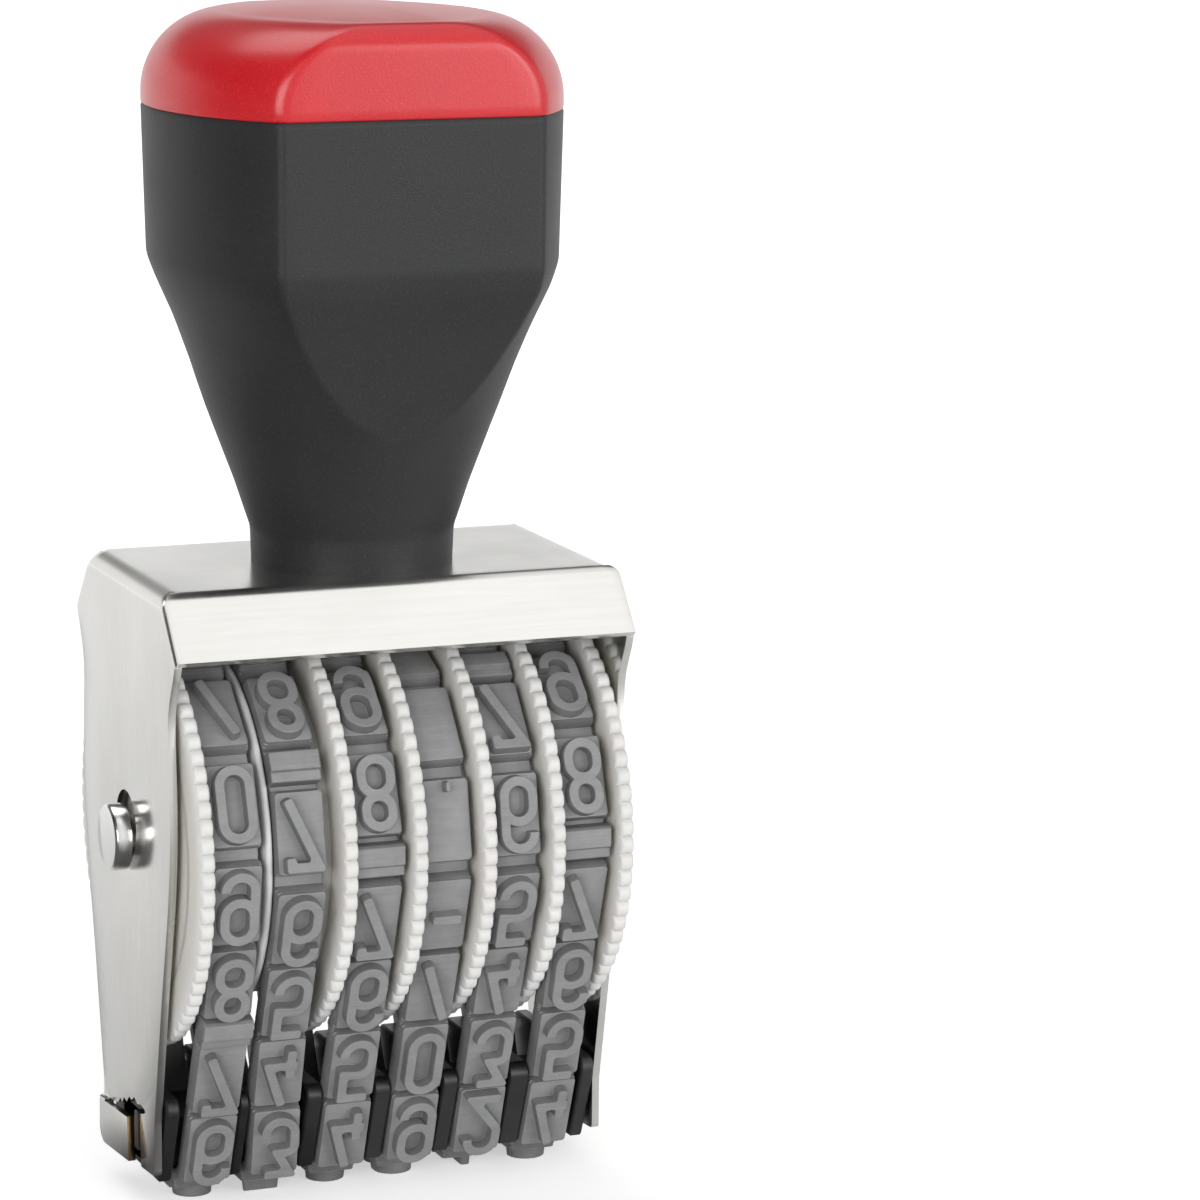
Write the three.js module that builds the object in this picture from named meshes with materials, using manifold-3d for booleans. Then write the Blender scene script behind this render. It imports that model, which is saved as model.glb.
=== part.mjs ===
// Hand numbering stamp: six endless rubber type bands run over toothed setting wheels and a bridge,
// held in a folded steel frame under a moulded handle. Millimetres, +Z up, X across, -Y to the front.
// Z = 0 is the printing plane, and the axle lies in the plane Y = 0.
import * as THREE from 'three';
import { mergeVertices } from 'three/addons/utils/BufferGeometryUtils.js';
import Module from 'manifold-3d';

const wasm = await Module();
wasm.setup();

// Clearances, and the shared overrun of every cut
const runningGap = 0.3;
const seatGap = 0.3;
const cutOverrun = 2;
const bendOverlap = 0.3;

// Rubber number bands and their type
const glyphHeight = 9;
const glyphWidth = 4.9;
const glyphStroke = 1.3;
const glyphRelief = 1.3;
const plinthHeight = 1.2;
const beltThickness = 1.3;
const bandWidth = 6.3;
const bandSideGap = 0.25;
const spliceLength = 3.3;
const spliceHeight = 2.2;
const tileGap = 0.6;

// Setting wheels
const wheelCount = 6;
const wheelTipRadius = 24.9;
const toothDepth = 0.9;
const toothPitch = 2.11;
const rimWidth = 1.7;
const drumRadius = 19.6;
const drumWall = 1.8;
const webThickness = 2;
const hubRadius = 7;

// Separator disc between wheel 1 and wheel 2
const separatorRadius = 22.6;
const separatorThickness = 0.8;
const separatorSpace = 2.4;
const separatorBossRadius = 6.5;

// Axle
const axleRadius = 3.95;
const axleStandout = 2.4;
const axleChamfer = 0.6;
const axleHeight = 43.65;

// Folded sheet frame
const sheet = 0.9;
const wheelHeadroom = 2.25;
const plateHalfDepth = 15.2;
const lipDrop = 6.9;
const lipReach = 5.7;
const foldRadius = 1.2;
const cornerRadius = 2.2;
const cheekClearance = 0.7;
const cheekHalfWidth = 17.8;
const lipInset = 0.2;
const lipCorner = 1.5;
const lipCornerDrop = 1;
const flareDrop = 0.6;
const flareRadius = 0.5;
const footFrontZ = 5;
const footRearZ = 3.6;
const footFrontRadius = 0.6;
const footRearRadius = 2;
const footPress = 0.6;
const footPanelTopZ = 8.8;
const footPanelFrontY = 2.2;
const holeLift = 1.4;
const holeRadius = 4.1;
const slotWidth = 2.2;
const slotCentreY = -4.6;
const slotTopZ = 11.8;
const reliefWidth = 0.6;
const reliefLength = 3;

// Bridge under which the bands print
const anvilHalfFlat = 4.2;
const anvilNoseRadius = 2;
const anvilHeight = 6.2;
const finTopZ = 14.4;
const finBottomZ = 3.4;
const finTopHalf = 10.6;
const finFootHalf = 7.2;
const finCornerRadius = 1.5;
const lugBottomZ = 6.2;

// Handle
const seamHeight = 53.6;
const seamStep = 0.3;
const capHeight = 11.6;
const capFillet = 9.5;
const capDome = 1;
const gripHalfWidth = 24.1;
const gripHalfDepth = 21.6;
const gripFlatHalf = 15.7;

// Handle fastening
const screwRadius = 2.4;
const screwHeadRadius = 4.4;
const screwHeadHeight = 2.6;
const screwLength = 12;
const washerRadius = 6;
const washerThickness = 0.9;
const insertRadius = 4.2;
const insertLength = 10;
const insertRecess = 0.6;

// Counts
const filletSteps = 2;
const noseSteps = 3;
const drumArcSteps = 16;
const roundSteps = 14;
const discSteps = 24;
const sideArcSteps = 8;
const capSteps = 5;

// Figures round every band, in the order in which they rise up its front run
const figures = ['1', '2', '3', '4', '5', '6', '7', '8', '9', '0', '/', '-', '.', ' ', ' '];
const figuresBeforeSplice = 7;
const printedFigures = ['5', '2', '3', '8', '1', '3'];

// Centre lines of the figures, as shares of the width and height inside the stroke
const bowlShares = [[0.3, 0], [0.7, 0], [1, 0.24], [1, 0.76], [0.7, 1], [0.3, 1], [0, 0.76], [0, 0.24]];
const figureShares = {
  '1': { lines: [[[0.12, 0.72], [0.6, 1], [0.6, 0]]] },
  '2': { lines: [[[0, 0.78], [0.22, 1], [0.78, 1], [1, 0.78], [0.92, 0.56], [0, 0], [1, 0]]] },
  '3': { lines: [[
    [0.04, 1], [0.94, 1], [0.42, 0.58], [0.78, 0.56], [1, 0.38], [1, 0.18], [0.76, 0], [0.24, 0], [0, 0.18],
  ]] },
  '4': { lines: [[[0.55, 1], [0, 0.28], [1, 0.28]], [[0.74, 0.5], [0.74, 0]]] },
  '5': { lines: [[
    [0.92, 1], [0.08, 1], [0.08, 0.54], [0.74, 0.6], [1, 0.42], [1, 0.18], [0.76, 0], [0.24, 0], [0, 0.16],
  ]] },
  '6': { lines: [[[1, 0.84], [0.74, 1], [0.26, 1], [0, 0.82], [0, 0.3]]], bowls: [[0, 0, 1, 0.6]] },
  '7': { lines: [[[0, 0.86], [0, 1], [1, 1], [0.26, 0]]] },
  '8': { bowls: [[0, 0, 1, 0.54], [0.06, 0.54, 0.88, 0.46]] },
  '9': { lines: [[[0, 0.16], [0.26, 0], [0.74, 0], [1, 0.18], [1, 0.7]]], bowls: [[0, 0.4, 1, 0.6]] },
  '0': { bowls: [[0, 0, 1, 1]] },
  '/': { lines: [[[0.1, 0], [0.9, 1]]] },
  '-': { lines: [[[0, 0.5], [1, 0.5]]] },
  '.': { lines: [[[0.36, 0], [0.64, 0]]] },
  ' ': {},
};
const mitreLimitShare = 1.6;

// Cheek edge from the foot up to the root of the flare: shares of its half width and of its height
const cheekEdgeShares = [
  [0.584, 0.099], [0.629, 0.159], [0.775, 0.351], [0.871, 0.463], [0.944, 0.558], [0.989, 0.654],
  [0.978, 0.797], [0.964, 0.877], [0.986, 0.917], [1.034, 0.949], [1.079, 0.973],
];

// Grip sections from neck to seam: shares of height, half width, half depth and half flat
const gripShares = [
  [0, 0.483, 0.539, 0.04], [0.078, 0.483, 0.539, 0.04], [0.088, 0.49, 0.547, 0.04],
  [0.177, 0.548, 0.611, 0.05], [0.306, 0.656, 0.728, 0.06], [0.323, 0.67, 0.738, 0.22],
  [0.345, 0.689, 0.755, 0.34], [0.39, 0.728, 0.79, 0.5], [0.448, 0.776, 0.838, 0.66],
  [0.541, 0.853, 0.912, 0.85], [0.625, 0.933, 0.977, 0.98], [0.672, 0.975, 1, 1],
];

// Values that follow from the sizes above
const bandHeight = beltThickness + plinthHeight + glyphRelief;
const noseZ = bandHeight + anvilNoseRadius + runningGap;
const beltDrumRadius = drumRadius + runningGap;
const beltNoseRadius = anvilNoseRadius + runningGap;
const wheelPitch = bandWidth + rimWidth + 2 * bandSideGap;
const wheelWidth = wheelPitch - runningGap;
const stackHalf = (wheelCount * wheelPitch - 2 * runningGap + separatorSpace) / 2;
const cheekInner = stackHalf + cheekClearance;
const cheekOuter = cheekInner + sheet;
const holeZ = axleHeight + holeLift;
const axleGrooveRadius = holeRadius - holeLift - seatGap;
const plateUnderZ = axleHeight + wheelTipRadius + wheelHeadroom + screwHeadHeight + washerThickness;
const plateTopZ = plateUnderZ + sheet;
const finThickness = rimWidth + 2 * bandSideGap - 2 * runningGap;
const lipAngle = Math.atan2(lipDrop, lipReach);
const lipLowZ = plateTopZ - lipDrop;
const flareZ = lipLowZ - flareDrop;

// Manifold solid from a three.js geometry
function solid(geometry) {
  const bare = geometry.index ? geometry.toNonIndexed() : geometry.clone();
  bare.deleteAttribute('normal');
  bare.deleteAttribute('uv');
  const merged = mergeVertices(bare);
  const corners = merged.index.array;
  const kept = [];
  for (let i = 0; i < corners.length; i += 3) {
    const [a, b, c] = [corners[i], corners[i + 1], corners[i + 2]];
    if (a !== b && b !== c && c !== a) {
      kept.push(a, b, c);
    }
  }
  const vertProperties = new Float32Array(merged.attributes.position.array);
  const triVerts = new Uint32Array(kept);
  return new wasm.Manifold(new wasm.Mesh({ numProp: 3, vertProperties, triVerts }));
}

function geometryOf(body) {
  const mesh = body.getMesh();
  const geometry = new THREE.BufferGeometry();
  geometry.setAttribute('position', new THREE.BufferAttribute(new Float32Array(mesh.vertProperties), 3));
  geometry.setIndex(new THREE.BufferAttribute(new Uint32Array(mesh.triVerts), 1));
  geometry.computeVertexNormals();
  return geometry;
}

function joined(bodies) {
  return bodies.reduce((sum, body) => sum.add(body));
}

function material(color, roughness, metalness) {
  return new THREE.MeshStandardMaterial({ color, roughness, metalness });
}

function shapeOf(points, holes = []) {
  const shape = new THREE.Shape(points.map(([x, y]) => new THREE.Vector2(x, y)));
  shape.holes = holes.map((hole) => new THREE.Path(hole.map(([x, y]) => new THREE.Vector2(x, y))));
  return shape;
}

// Outline given in Y and Z, extruded along X from one side to the other
function acrossX(points, fromX, toX) {
  const geometry = new THREE.ExtrudeGeometry(shapeOf(points), { depth: toX - fromX, bevelEnabled: false });
  const yzx = new THREE.Matrix4().makeBasis(
    new THREE.Vector3(0, 1, 0), new THREE.Vector3(0, 0, 1), new THREE.Vector3(1, 0, 0));
  geometry.applyMatrix4(yzx);
  geometry.translate(fromX, 0, 0);
  return geometry;
}

// Outline given in X and Z, extruded along Y
function alongY(points, halfDepth) {
  const geometry = new THREE.ExtrudeGeometry(shapeOf(points), { depth: 2 * halfDepth, bevelEnabled: false });
  geometry.translate(0, 0, -halfDepth);
  geometry.rotateX(Math.PI / 2);
  return geometry;
}

function block(fromX, toX, fromY, toY, fromZ, toZ) {
  const geometry = new THREE.BoxGeometry(toX - fromX, toY - fromY, toZ - fromZ);
  geometry.translate((fromX + toX) / 2, (fromY + toY) / 2, (fromZ + toZ) / 2);
  return geometry;
}

function turned(profile, steps = roundSteps) {
  const closed = [...profile, profile[0]];
  const points = closed.map(([radius, along]) => new THREE.Vector2(radius, along));
  return new THREE.LatheGeometry(points, steps);
}

// Turned shape whose axis is moved onto X at the axle
function turnedOnAxle(profile, steps) {
  const geometry = turned(profile, steps);
  geometry.rotateZ(-Math.PI / 2);
  geometry.translate(0, 0, axleHeight);
  return geometry;
}

function turnedUpright(profile, baseZ) {
  const geometry = turned(profile);
  geometry.rotateX(Math.PI / 2);
  geometry.translate(0, 0, baseZ);
  return geometry;
}

// Polygon with each corner [x, y, radius] replaced by an arc
function rounded(corners) {
  const outline = [];
  corners.forEach(([x, y, radius], i) => {
    const before = corners[(i + corners.length - 1) % corners.length];
    const after = corners[(i + 1) % corners.length];
    const corner = new THREE.Vector2(x, y);
    if (!radius) {
      outline.push([x, y]);
      return;
    }
    const back = new THREE.Vector2(before[0] - x, before[1] - y).normalize();
    const ahead = new THREE.Vector2(after[0] - x, after[1] - y).normalize();
    const half = Math.acos(THREE.MathUtils.clamp(back.dot(ahead), -1, 1)) / 2;
    const middle = back.clone().add(ahead).normalize().multiplyScalar(radius / Math.sin(half)).add(corner);
    const start = back.clone().multiplyScalar(radius / Math.tan(half)).add(corner).sub(middle);
    const end = ahead.clone().multiplyScalar(radius / Math.tan(half)).add(corner).sub(middle);
    const from = start.angle();
    let sweep = end.angle() - from;
    sweep = Math.atan2(Math.sin(sweep), Math.cos(sweep));
    for (let k = 0; k <= filletSteps; k += 1) {
      const turn = from + sweep * k / filletSteps;
      outline.push([middle.x + radius * Math.cos(turn), middle.y + radius * Math.sin(turn)]);
    }
  });
  return outline;
}

// Inner line of a belt: flat under the anvil, round its nose, up the straight front run, over the drum and back
function beltPath() {
  const rise = axleHeight - noseZ;
  const span = Math.hypot(rise, anvilHalfFlat);
  const wrap = Math.asin((beltDrumRadius - beltNoseRadius) / span);
  const lean = wrap - Math.atan2(anvilHalfFlat, rise);
  const noseTurn = Math.PI / 2 - lean;
  const noseLength = beltNoseRadius * noseTurn;
  const runLength = span * Math.cos(wrap);
  const drumTurn = Math.PI + 2 * lean;
  const drumLength = beltDrumRadius * drumTurn;
  const half = anvilHalfFlat + noseLength + runLength + drumLength / 2;
  // Place and outward direction at a distance from the middle of the flat, towards the front
  function frontAt(distance) {
    if (distance <= anvilHalfFlat) {
      return { y: -distance, z: bandHeight, turn: 0 };
    }
    if (distance <= anvilHalfFlat + noseLength) {
      const turn = (distance - anvilHalfFlat) / beltNoseRadius;
      return {
        y: -anvilHalfFlat - beltNoseRadius * Math.sin(turn),
        z: noseZ - beltNoseRadius * Math.cos(turn),
        turn,
      };
    }
    if (distance <= anvilHalfFlat + noseLength + runLength) {
      const up = distance - anvilHalfFlat - noseLength;
      return {
        y: -anvilHalfFlat - beltNoseRadius * Math.sin(noseTurn) - up * Math.cos(noseTurn),
        z: noseZ - beltNoseRadius * Math.cos(noseTurn) + up * Math.sin(noseTurn),
        turn: noseTurn,
      };
    }
    const turn = noseTurn + (distance - anvilHalfFlat - noseLength - runLength) / beltDrumRadius;
    return { y: -beltDrumRadius * Math.sin(turn), z: axleHeight - beltDrumRadius * Math.cos(turn), turn };
  }
  function at(distance) {
    const wrapped = distance - 2 * half * Math.round(distance / (2 * half));
    const place = frontAt(Math.abs(wrapped));
    const side = wrapped < 0 ? -1 : 1;
    return { y: side * place.y, z: place.z, outY: -side * Math.sin(place.turn), outZ: -Math.cos(place.turn) };
  }
  const stops = [anvilHalfFlat];
  for (let k = 1; k <= noseSteps; k += 1) {
    stops.push(anvilHalfFlat + noseLength * k / noseSteps);
  }
  for (let k = 0; k < drumArcSteps; k += 1) {
    stops.push(anvilHalfFlat + noseLength + runLength + drumLength * k / drumArcSteps);
  }
  return { at, stops, half, length: 2 * half };
}

const path = beltPath();
const figurePitch = (path.length - spliceLength) / figures.length;

function figureStop(index) {
  return index * figurePitch + (index < figuresBeforeSplice ? 0 : spliceLength);
}

// Point of the belt at a distance along it and a height over its inner face
function beltPoint(distance, height) {
  const place = path.at(distance);
  return [place.y + place.outY * height, place.z + place.outZ * height];
}

// Flat-topped raised step across the belt
function raisedStep(centre, length, height) {
  const place = path.at(centre);
  const half = length / 2;
  const corner = (side) => [
    place.y + place.outY * height + side * half * place.outZ,
    place.z + place.outZ * height - side * half * place.outY,
  ];
  return [
    beltPoint(centre - half, beltThickness), corner(-1), corner(1), beltPoint(centre + half, beltThickness),
  ];
}

function bandOutline(offset) {
  const steps = figures.map((figure, i) => ({
    at: figureStop(i) - offset,
    length: figurePitch - tileGap,
    height: beltThickness + plinthHeight,
  }));
  const spliceAt = (figuresBeforeSplice - 1 / 2) * figurePitch + spliceLength / 2;
  steps.push({ at: spliceAt - offset, length: spliceLength - tileGap, height: beltThickness + spliceHeight });
  steps.sort((a, b) => a.at - b.at);
  return steps.flatMap((step) => raisedStep(step.at, step.length, step.height));
}

function bandInside() {
  const front = path.stops.map((stop) => beltPoint(stop, 0));
  const rear = path.stops.slice(0, noseSteps + 2).reverse().map((stop) => beltPoint(-stop, 0));
  return [...front, ...rear];
}

// Both sides of a stroke of given half width along a line of points
function strokeSides(points, half, closed) {
  const left = [];
  const right = [];
  const last = points.length - 1;
  points.forEach(([x, y], i) => {
    const here = new THREE.Vector2(x, y);
    const before = points[i === 0 ? (closed ? last : 0) : i - 1];
    const after = points[i === last ? (closed ? 0 : last) : i + 1];
    const incoming = new THREE.Vector2(x - before[0], y - before[1]).normalize();
    const outgoing = new THREE.Vector2(after[0] - x, after[1] - y).normalize();
    const first = incoming.lengthSq() ? incoming : outgoing;
    const second = outgoing.lengthSq() ? outgoing : incoming;
    const firstNormal = new THREE.Vector2(-first.y, first.x);
    const secondNormal = new THREE.Vector2(-second.y, second.x);
    const mitre = firstNormal.clone().add(secondNormal);
    mitre.multiplyScalar(2 * half / mitre.lengthSq());
    const turnsLeft = first.cross(second) > 0;
    const sharp = mitre.length() > mitreLimitShare * half;
    const put = (list, sign, outside) => {
      if (sharp && outside) {
        list.push(here.clone().addScaledVector(firstNormal, sign * half).toArray());
        list.push(here.clone().addScaledVector(secondNormal, sign * half).toArray());
      } else {
        list.push(here.clone().addScaledVector(mitre, sign).toArray());
      }
    };
    put(left, 1, !turnsLeft);
    put(right, -1, turnsLeft);
  });
  return { left, right };
}

// Outlines of one figure, centred, each with its holes
function figureOutlines(figure) {
  const width = glyphWidth - glyphStroke;
  const height = glyphHeight - glyphStroke;
  const place = ([u, v]) => [(u - 1 / 2) * width, (v - 1 / 2) * height];
  const { lines = [], bowls = [] } = figureShares[figure];
  const open = lines.map((line) => {
    const { left, right } = strokeSides(line.map(place), glyphStroke / 2, false);
    return { points: [...right, ...left.reverse()], holes: [] };
  });
  const closed = bowls.map(([u, v, uSize, vSize]) => {
    const ring = bowlShares.map(([s, t]) => place([u + s * uSize, v + t * vSize]));
    const { left, right } = strokeSides(ring, glyphStroke / 2, true);
    return { points: right, holes: [left] };
  });
  return [...open, ...closed];
}

// Raised figures stand mirrored on the belt, with their heads towards the rear on the printing face
function figureBodies(centreX, offset) {
  const bodies = [];
  figures.forEach((figure, i) => {
    const place = path.at(figureStop(i) - offset);
    const out = new THREE.Vector3(0, place.outY, place.outZ);
    const across = new THREE.Vector3(1, 0, 0);
    const headward = out.clone().cross(across);
    const basis = new THREE.Matrix4().makeBasis(across, headward.negate(), out.clone().negate());
    const top = new THREE.Vector3(centreX, place.y, place.z).addScaledVector(out, bandHeight);
    for (const { points, holes } of figureOutlines(figure)) {
      const depth = glyphRelief + plinthHeight / 2;
      const geometry = new THREE.ExtrudeGeometry(shapeOf(points, holes), { depth, bevelEnabled: false });
      geometry.applyMatrix4(basis);
      geometry.translate(top.x, top.y, top.z);
      bodies.push(solid(geometry));
    }
  });
  return bodies;
}

// Side of the rim from which wheel and band of a position run: wheel 1 is mirrored
function wheelPlace(index) {
  if (index === 0) {
    return { rimX: -stackHalf, side: 1 };
  }
  return { rimX: stackHalf - (wheelCount - 1 - index) * wheelPitch, side: -1 };
}

function bandCentre(index) {
  const { rimX, side } = wheelPlace(index);
  return rimX + side * (rimWidth + bandSideGap + bandWidth / 2);
}

function band(index) {
  const centre = bandCentre(index);
  const offset = figureStop(figures.indexOf(printedFigures[index]));
  const belt = solid(acrossX(bandOutline(offset), centre - bandWidth / 2, centre + bandWidth / 2));
  const inside = solid(acrossX(bandInside(), centre - bandWidth, centre + bandWidth));
  return geometryOf(joined([belt.subtract(inside), ...figureBodies(centre, offset)]));
}

function toothedOutline() {
  const teeth = Math.round(2 * Math.PI * wheelTipRadius / toothPitch);
  const outline = [];
  for (let i = 0; i < 2 * teeth; i += 1) {
    const turn = Math.PI * i / teeth;
    const radius = wheelTipRadius - (i % 2) * toothDepth;
    outline.push([radius * Math.cos(turn), radius * Math.sin(turn)]);
  }
  return outline;
}

function circleOutline(radius, steps) {
  const outline = [];
  for (let i = 0; i < steps; i += 1) {
    const turn = 2 * Math.PI * i / steps;
    outline.push([radius * Math.cos(turn), radius * Math.sin(turn)]);
  }
  return outline;
}

function settingWheel(index) {
  const { rimX, side } = wheelPlace(index);
  const bore = axleRadius + runningGap;
  const drumInside = drumRadius - drumWall;
  const body = turned([
    [bore, 0], [drumRadius, 0], [drumRadius, wheelWidth], [drumInside, wheelWidth],
    [drumInside, webThickness], [hubRadius, webThickness], [hubRadius, wheelWidth], [bore, wheelWidth],
  ]);
  body.rotateX(Math.PI / 2);
  const ring = shapeOf(toothedOutline(), [circleOutline(drumRadius - drumWall / 2, roundSteps)]);
  const rim = new THREE.ExtrudeGeometry(ring, { depth: rimWidth, bevelEnabled: false });
  const wheel = geometryOf(solid(body).add(solid(rim)));
  wheel.rotateY(side * Math.PI / 2);
  wheel.translate(rimX, 0, axleHeight);
  return wheel;
}

function separatorDisc() {
  const centre = -stackHalf + wheelWidth + separatorSpace / 2;
  const half = separatorThickness / 2;
  const bossHalf = separatorSpace / 2 - runningGap;
  const bore = axleRadius + runningGap;
  const disc = turnedOnAxle([
    [bore, -bossHalf], [separatorBossRadius, -bossHalf], [separatorBossRadius, -half], [separatorRadius, -half],
    [separatorRadius, half], [separatorBossRadius, half], [separatorBossRadius, bossHalf], [bore, bossHalf],
  ], discSteps);
  disc.translate(centre, 0, 0);
  return geometryOf(solid(disc));
}

function axle() {
  const end = cheekOuter + axleStandout;
  const half = [
    [0, end], [axleRadius - axleChamfer, end], [axleRadius, end - axleChamfer],
    [axleRadius, cheekOuter + seatGap], [axleGrooveRadius, cheekOuter + seatGap],
    [axleGrooveRadius, cheekInner - seatGap], [axleRadius, cheekInner - seatGap],
  ];
  const mirrored = half.map(([radius, along]) => [radius, -along]).reverse();
  const profile = [...half, ...mirrored].reverse();
  return geometryOf(solid(turnedOnAxle(profile, roundSteps)));
}

// Place on the underside of a lip: distance down it from the fold, and depth below its outer face
function lipPoint(down, depth) {
  return [
    -plateHalfDepth - down * Math.cos(lipAngle) + depth * Math.sin(lipAngle),
    plateTopZ - down * Math.sin(lipAngle) - depth * Math.cos(lipAngle),
  ];
}

function mirroredY(corners) {
  return corners.map(([y, z, radius]) => [-y, z, radius]).reverse();
}

function roofOutline() {
  const lipLength = Math.hypot(lipDrop, lipReach);
  const innerHalf = plateHalfDepth - sheet * Math.tan(lipAngle / 2);
  const [outerY, lowOuterZ] = lipPoint(lipLength, 0);
  const [innerY, lowInnerZ] = lipPoint(lipLength, sheet);
  const front = [
    [-innerHalf, plateUnderZ, foldRadius],
    [innerY, lowInnerZ, 0],
    [outerY, lowOuterZ, 0],
    [-plateHalfDepth, plateTopZ, foldRadius + sheet],
  ];
  return rounded([...front, ...mirroredY(front)]);
}

function cheekEdge() {
  const height = flareZ - footFrontZ;
  const depth = sheet + seatGap;
  const down = (plateTopZ - flareZ - depth * Math.cos(lipAngle)) / Math.sin(lipAngle);
  const [flareY] = lipPoint(down, depth);
  const [topY, topZ] = lipPoint(0, depth);
  return [
    ...cheekEdgeShares.map(([width, up]) => [-width * cheekHalfWidth, footFrontZ + up * height, 0]),
    [flareY, flareZ, flareRadius],
    [topY, topZ, 0],
  ];
}

function cheekOutline() {
  const edge = cheekEdge();
  const footHalf = cheekEdgeShares[0][0] * cheekHalfWidth;
  const topY = edge[edge.length - 1][0];
  return rounded([
    [footHalf, footRearZ, footRearRadius],
    ...edge.map(([y, z, radius]) => [-y, z, radius]),
    [-topY, plateTopZ, 0],
    [topY, plateTopZ, 0],
    ...edge.slice().reverse(),
    [-footHalf, footFrontZ, footFrontRadius],
  ]);
}

// Block between two X values given in either order
function sideBlock(oneX, otherX, fromY, toY, fromZ, toZ) {
  return solid(block(Math.min(oneX, otherX), Math.max(oneX, otherX), fromY, toY, fromZ, toZ));
}

function foldedShell(reach) {
  const outer = [
    [-cheekOuter, 0, 0], [cheekOuter, 0, 0],
    [cheekOuter, plateTopZ, cornerRadius], [-cheekOuter, plateTopZ, cornerRadius],
  ];
  const inner = [
    [-cheekInner, -cutOverrun, 0], [cheekInner, -cutOverrun, 0],
    [cheekInner, plateUnderZ, cornerRadius - sheet], [-cheekInner, plateUnderZ, cornerRadius - sheet],
  ];
  return solid(alongY(rounded(outer), reach)).subtract(solid(alongY(rounded(inner), reach + cutOverrun)));
}

// Top plate and lips, their corners over the cheeks cut off at an angle
function roof(reach) {
  const half = cheekOuter - lipInset;
  const sheetPart = solid(acrossX(roofOutline(), -half, half));
  const trim = solid(alongY([
    [-half, 0], [half, 0],
    [half, plateTopZ - lipCornerDrop], [half - lipCorner, plateTopZ],
    [-half + lipCorner, plateTopZ], [-half, plateTopZ - lipCornerDrop],
  ], reach));
  const bendY = lipPoint(0, sheet + seatGap)[0] + bendOverlap;
  const overBends = [-1, 1].map((side) => sideBlock(
    side * (cheekOuter - cornerRadius), side * cheekOuter,
    bendY, -bendY, plateUnderZ - cutOverrun, plateTopZ + cutOverrun));
  return sheetPart.intersect(trim).subtract(joined(overBends));
}

// Slots, reliefs and holes of both cheeks, and the screw hole of the top plate
function frameCuts() {
  const far = cheekOuter + cutOverrun;
  const slotFront = slotCentreY - slotWidth / 2;
  const slotRear = slotCentreY + slotWidth / 2;
  const panelRear = cheekHalfWidth + cutOverrun;
  const hole = turned([[0, -far], [holeRadius, -far], [holeRadius, far], [0, far]]);
  hole.rotateZ(-Math.PI / 2);
  hole.translate(0, 0, holeZ);
  const screwHole = screwRadius + seatGap;
  const through = turnedUpright([
    [0, -cutOverrun], [screwHole, -cutOverrun], [screwHole, sheet + cutOverrun], [0, sheet + cutOverrun],
  ], plateUnderZ);
  return joined([
    solid(hole),
    solid(through),
    solid(block(-far, far, slotFront, slotRear, 0, slotTopZ)),
    solid(block(-far, far, slotFront - reliefLength, slotRear, slotTopZ - reliefWidth, slotTopZ)),
    solid(block(-far, far, footPanelFrontY, panelRear, footPanelTopZ, footPanelTopZ + reliefWidth)),
  ]);
}

// Rear part of a cheek's foot moved out by its press, with the bend that joins it to the rest
function pressedFoot(body, side) {
  const panelRear = cheekHalfWidth + cutOverrun;
  const zone = sideBlock(
    side * (cheekInner - cutOverrun), side * (cheekOuter + cutOverrun),
    footPanelFrontY, panelRear, 0, footPanelTopZ);
  const panel = body.intersect(zone).translate([side * footPress, 0, 0]);
  const bend = sideBlock(
    side * cheekInner, side * (cheekOuter + footPress),
    footPanelFrontY - sheet / 2, footPanelFrontY + sheet / 2, footFrontZ, footPanelTopZ);
  return body.subtract(zone).add(panel).add(bend);
}

function frame() {
  const reach = plateHalfDepth + lipReach + cutOverrun;
  const cheeks = acrossX(cheekOutline(), -cheekOuter - cutOverrun, cheekOuter + cutOverrun);
  const sides = foldedShell(reach).intersect(solid(cheeks));
  const cut = sides.add(roof(reach)).subtract(frameCuts());
  return geometryOf([-1, 1].reduce(pressedFoot, cut));
}

function bridge() {
  const endX = cheekInner - seatGap;
  const anvilHalf = anvilHalfFlat + anvilNoseRadius;
  const bottom = noseZ - anvilNoseRadius;
  const anvil = acrossX(rounded([
    [-anvilHalf, bottom, anvilNoseRadius], [anvilHalf, bottom, anvilNoseRadius],
    [anvilHalf, bottom + anvilHeight, finCornerRadius], [-anvilHalf, bottom + anvilHeight, finCornerRadius],
  ]), -endX, endX);
  const finOutline = rounded([
    [-finFootHalf, finBottomZ, 0], [finFootHalf, finBottomZ, 0],
    [finTopHalf, finTopZ, finCornerRadius], [-finTopHalf, finTopZ, finCornerRadius],
  ]);
  const places = [-endX, endX - finThickness];
  for (let i = 1; i < wheelCount; i += 1) {
    const between = (bandCentre(i - 1) + bandCentre(i)) / 2;
    places.push(between - finThickness / 2);
  }
  const bodies = places.map((fromX) => solid(acrossX(finOutline, fromX, fromX + finThickness)));
  const lugHalf = slotWidth / 2 - seatGap;
  for (const side of [-1, 1]) {
    bodies.push(sideBlock(
      side * (endX - finThickness / 2), side * cheekOuter, slotCentreY - lugHalf, slotCentreY + lugHalf,
      lugBottomZ, slotTopZ - reliefWidth - seatGap));
  }
  return geometryOf(joined([solid(anvil), ...bodies]));
}

// Side arc of a grip section: through the side point and the end of the flat
function gripArc(halfWidth, halfDepth, flat) {
  const centre = (halfWidth ** 2 - flat ** 2 - halfDepth ** 2) / (2 * (halfWidth - flat));
  return { centre, radius: halfWidth - centre };
}

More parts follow.
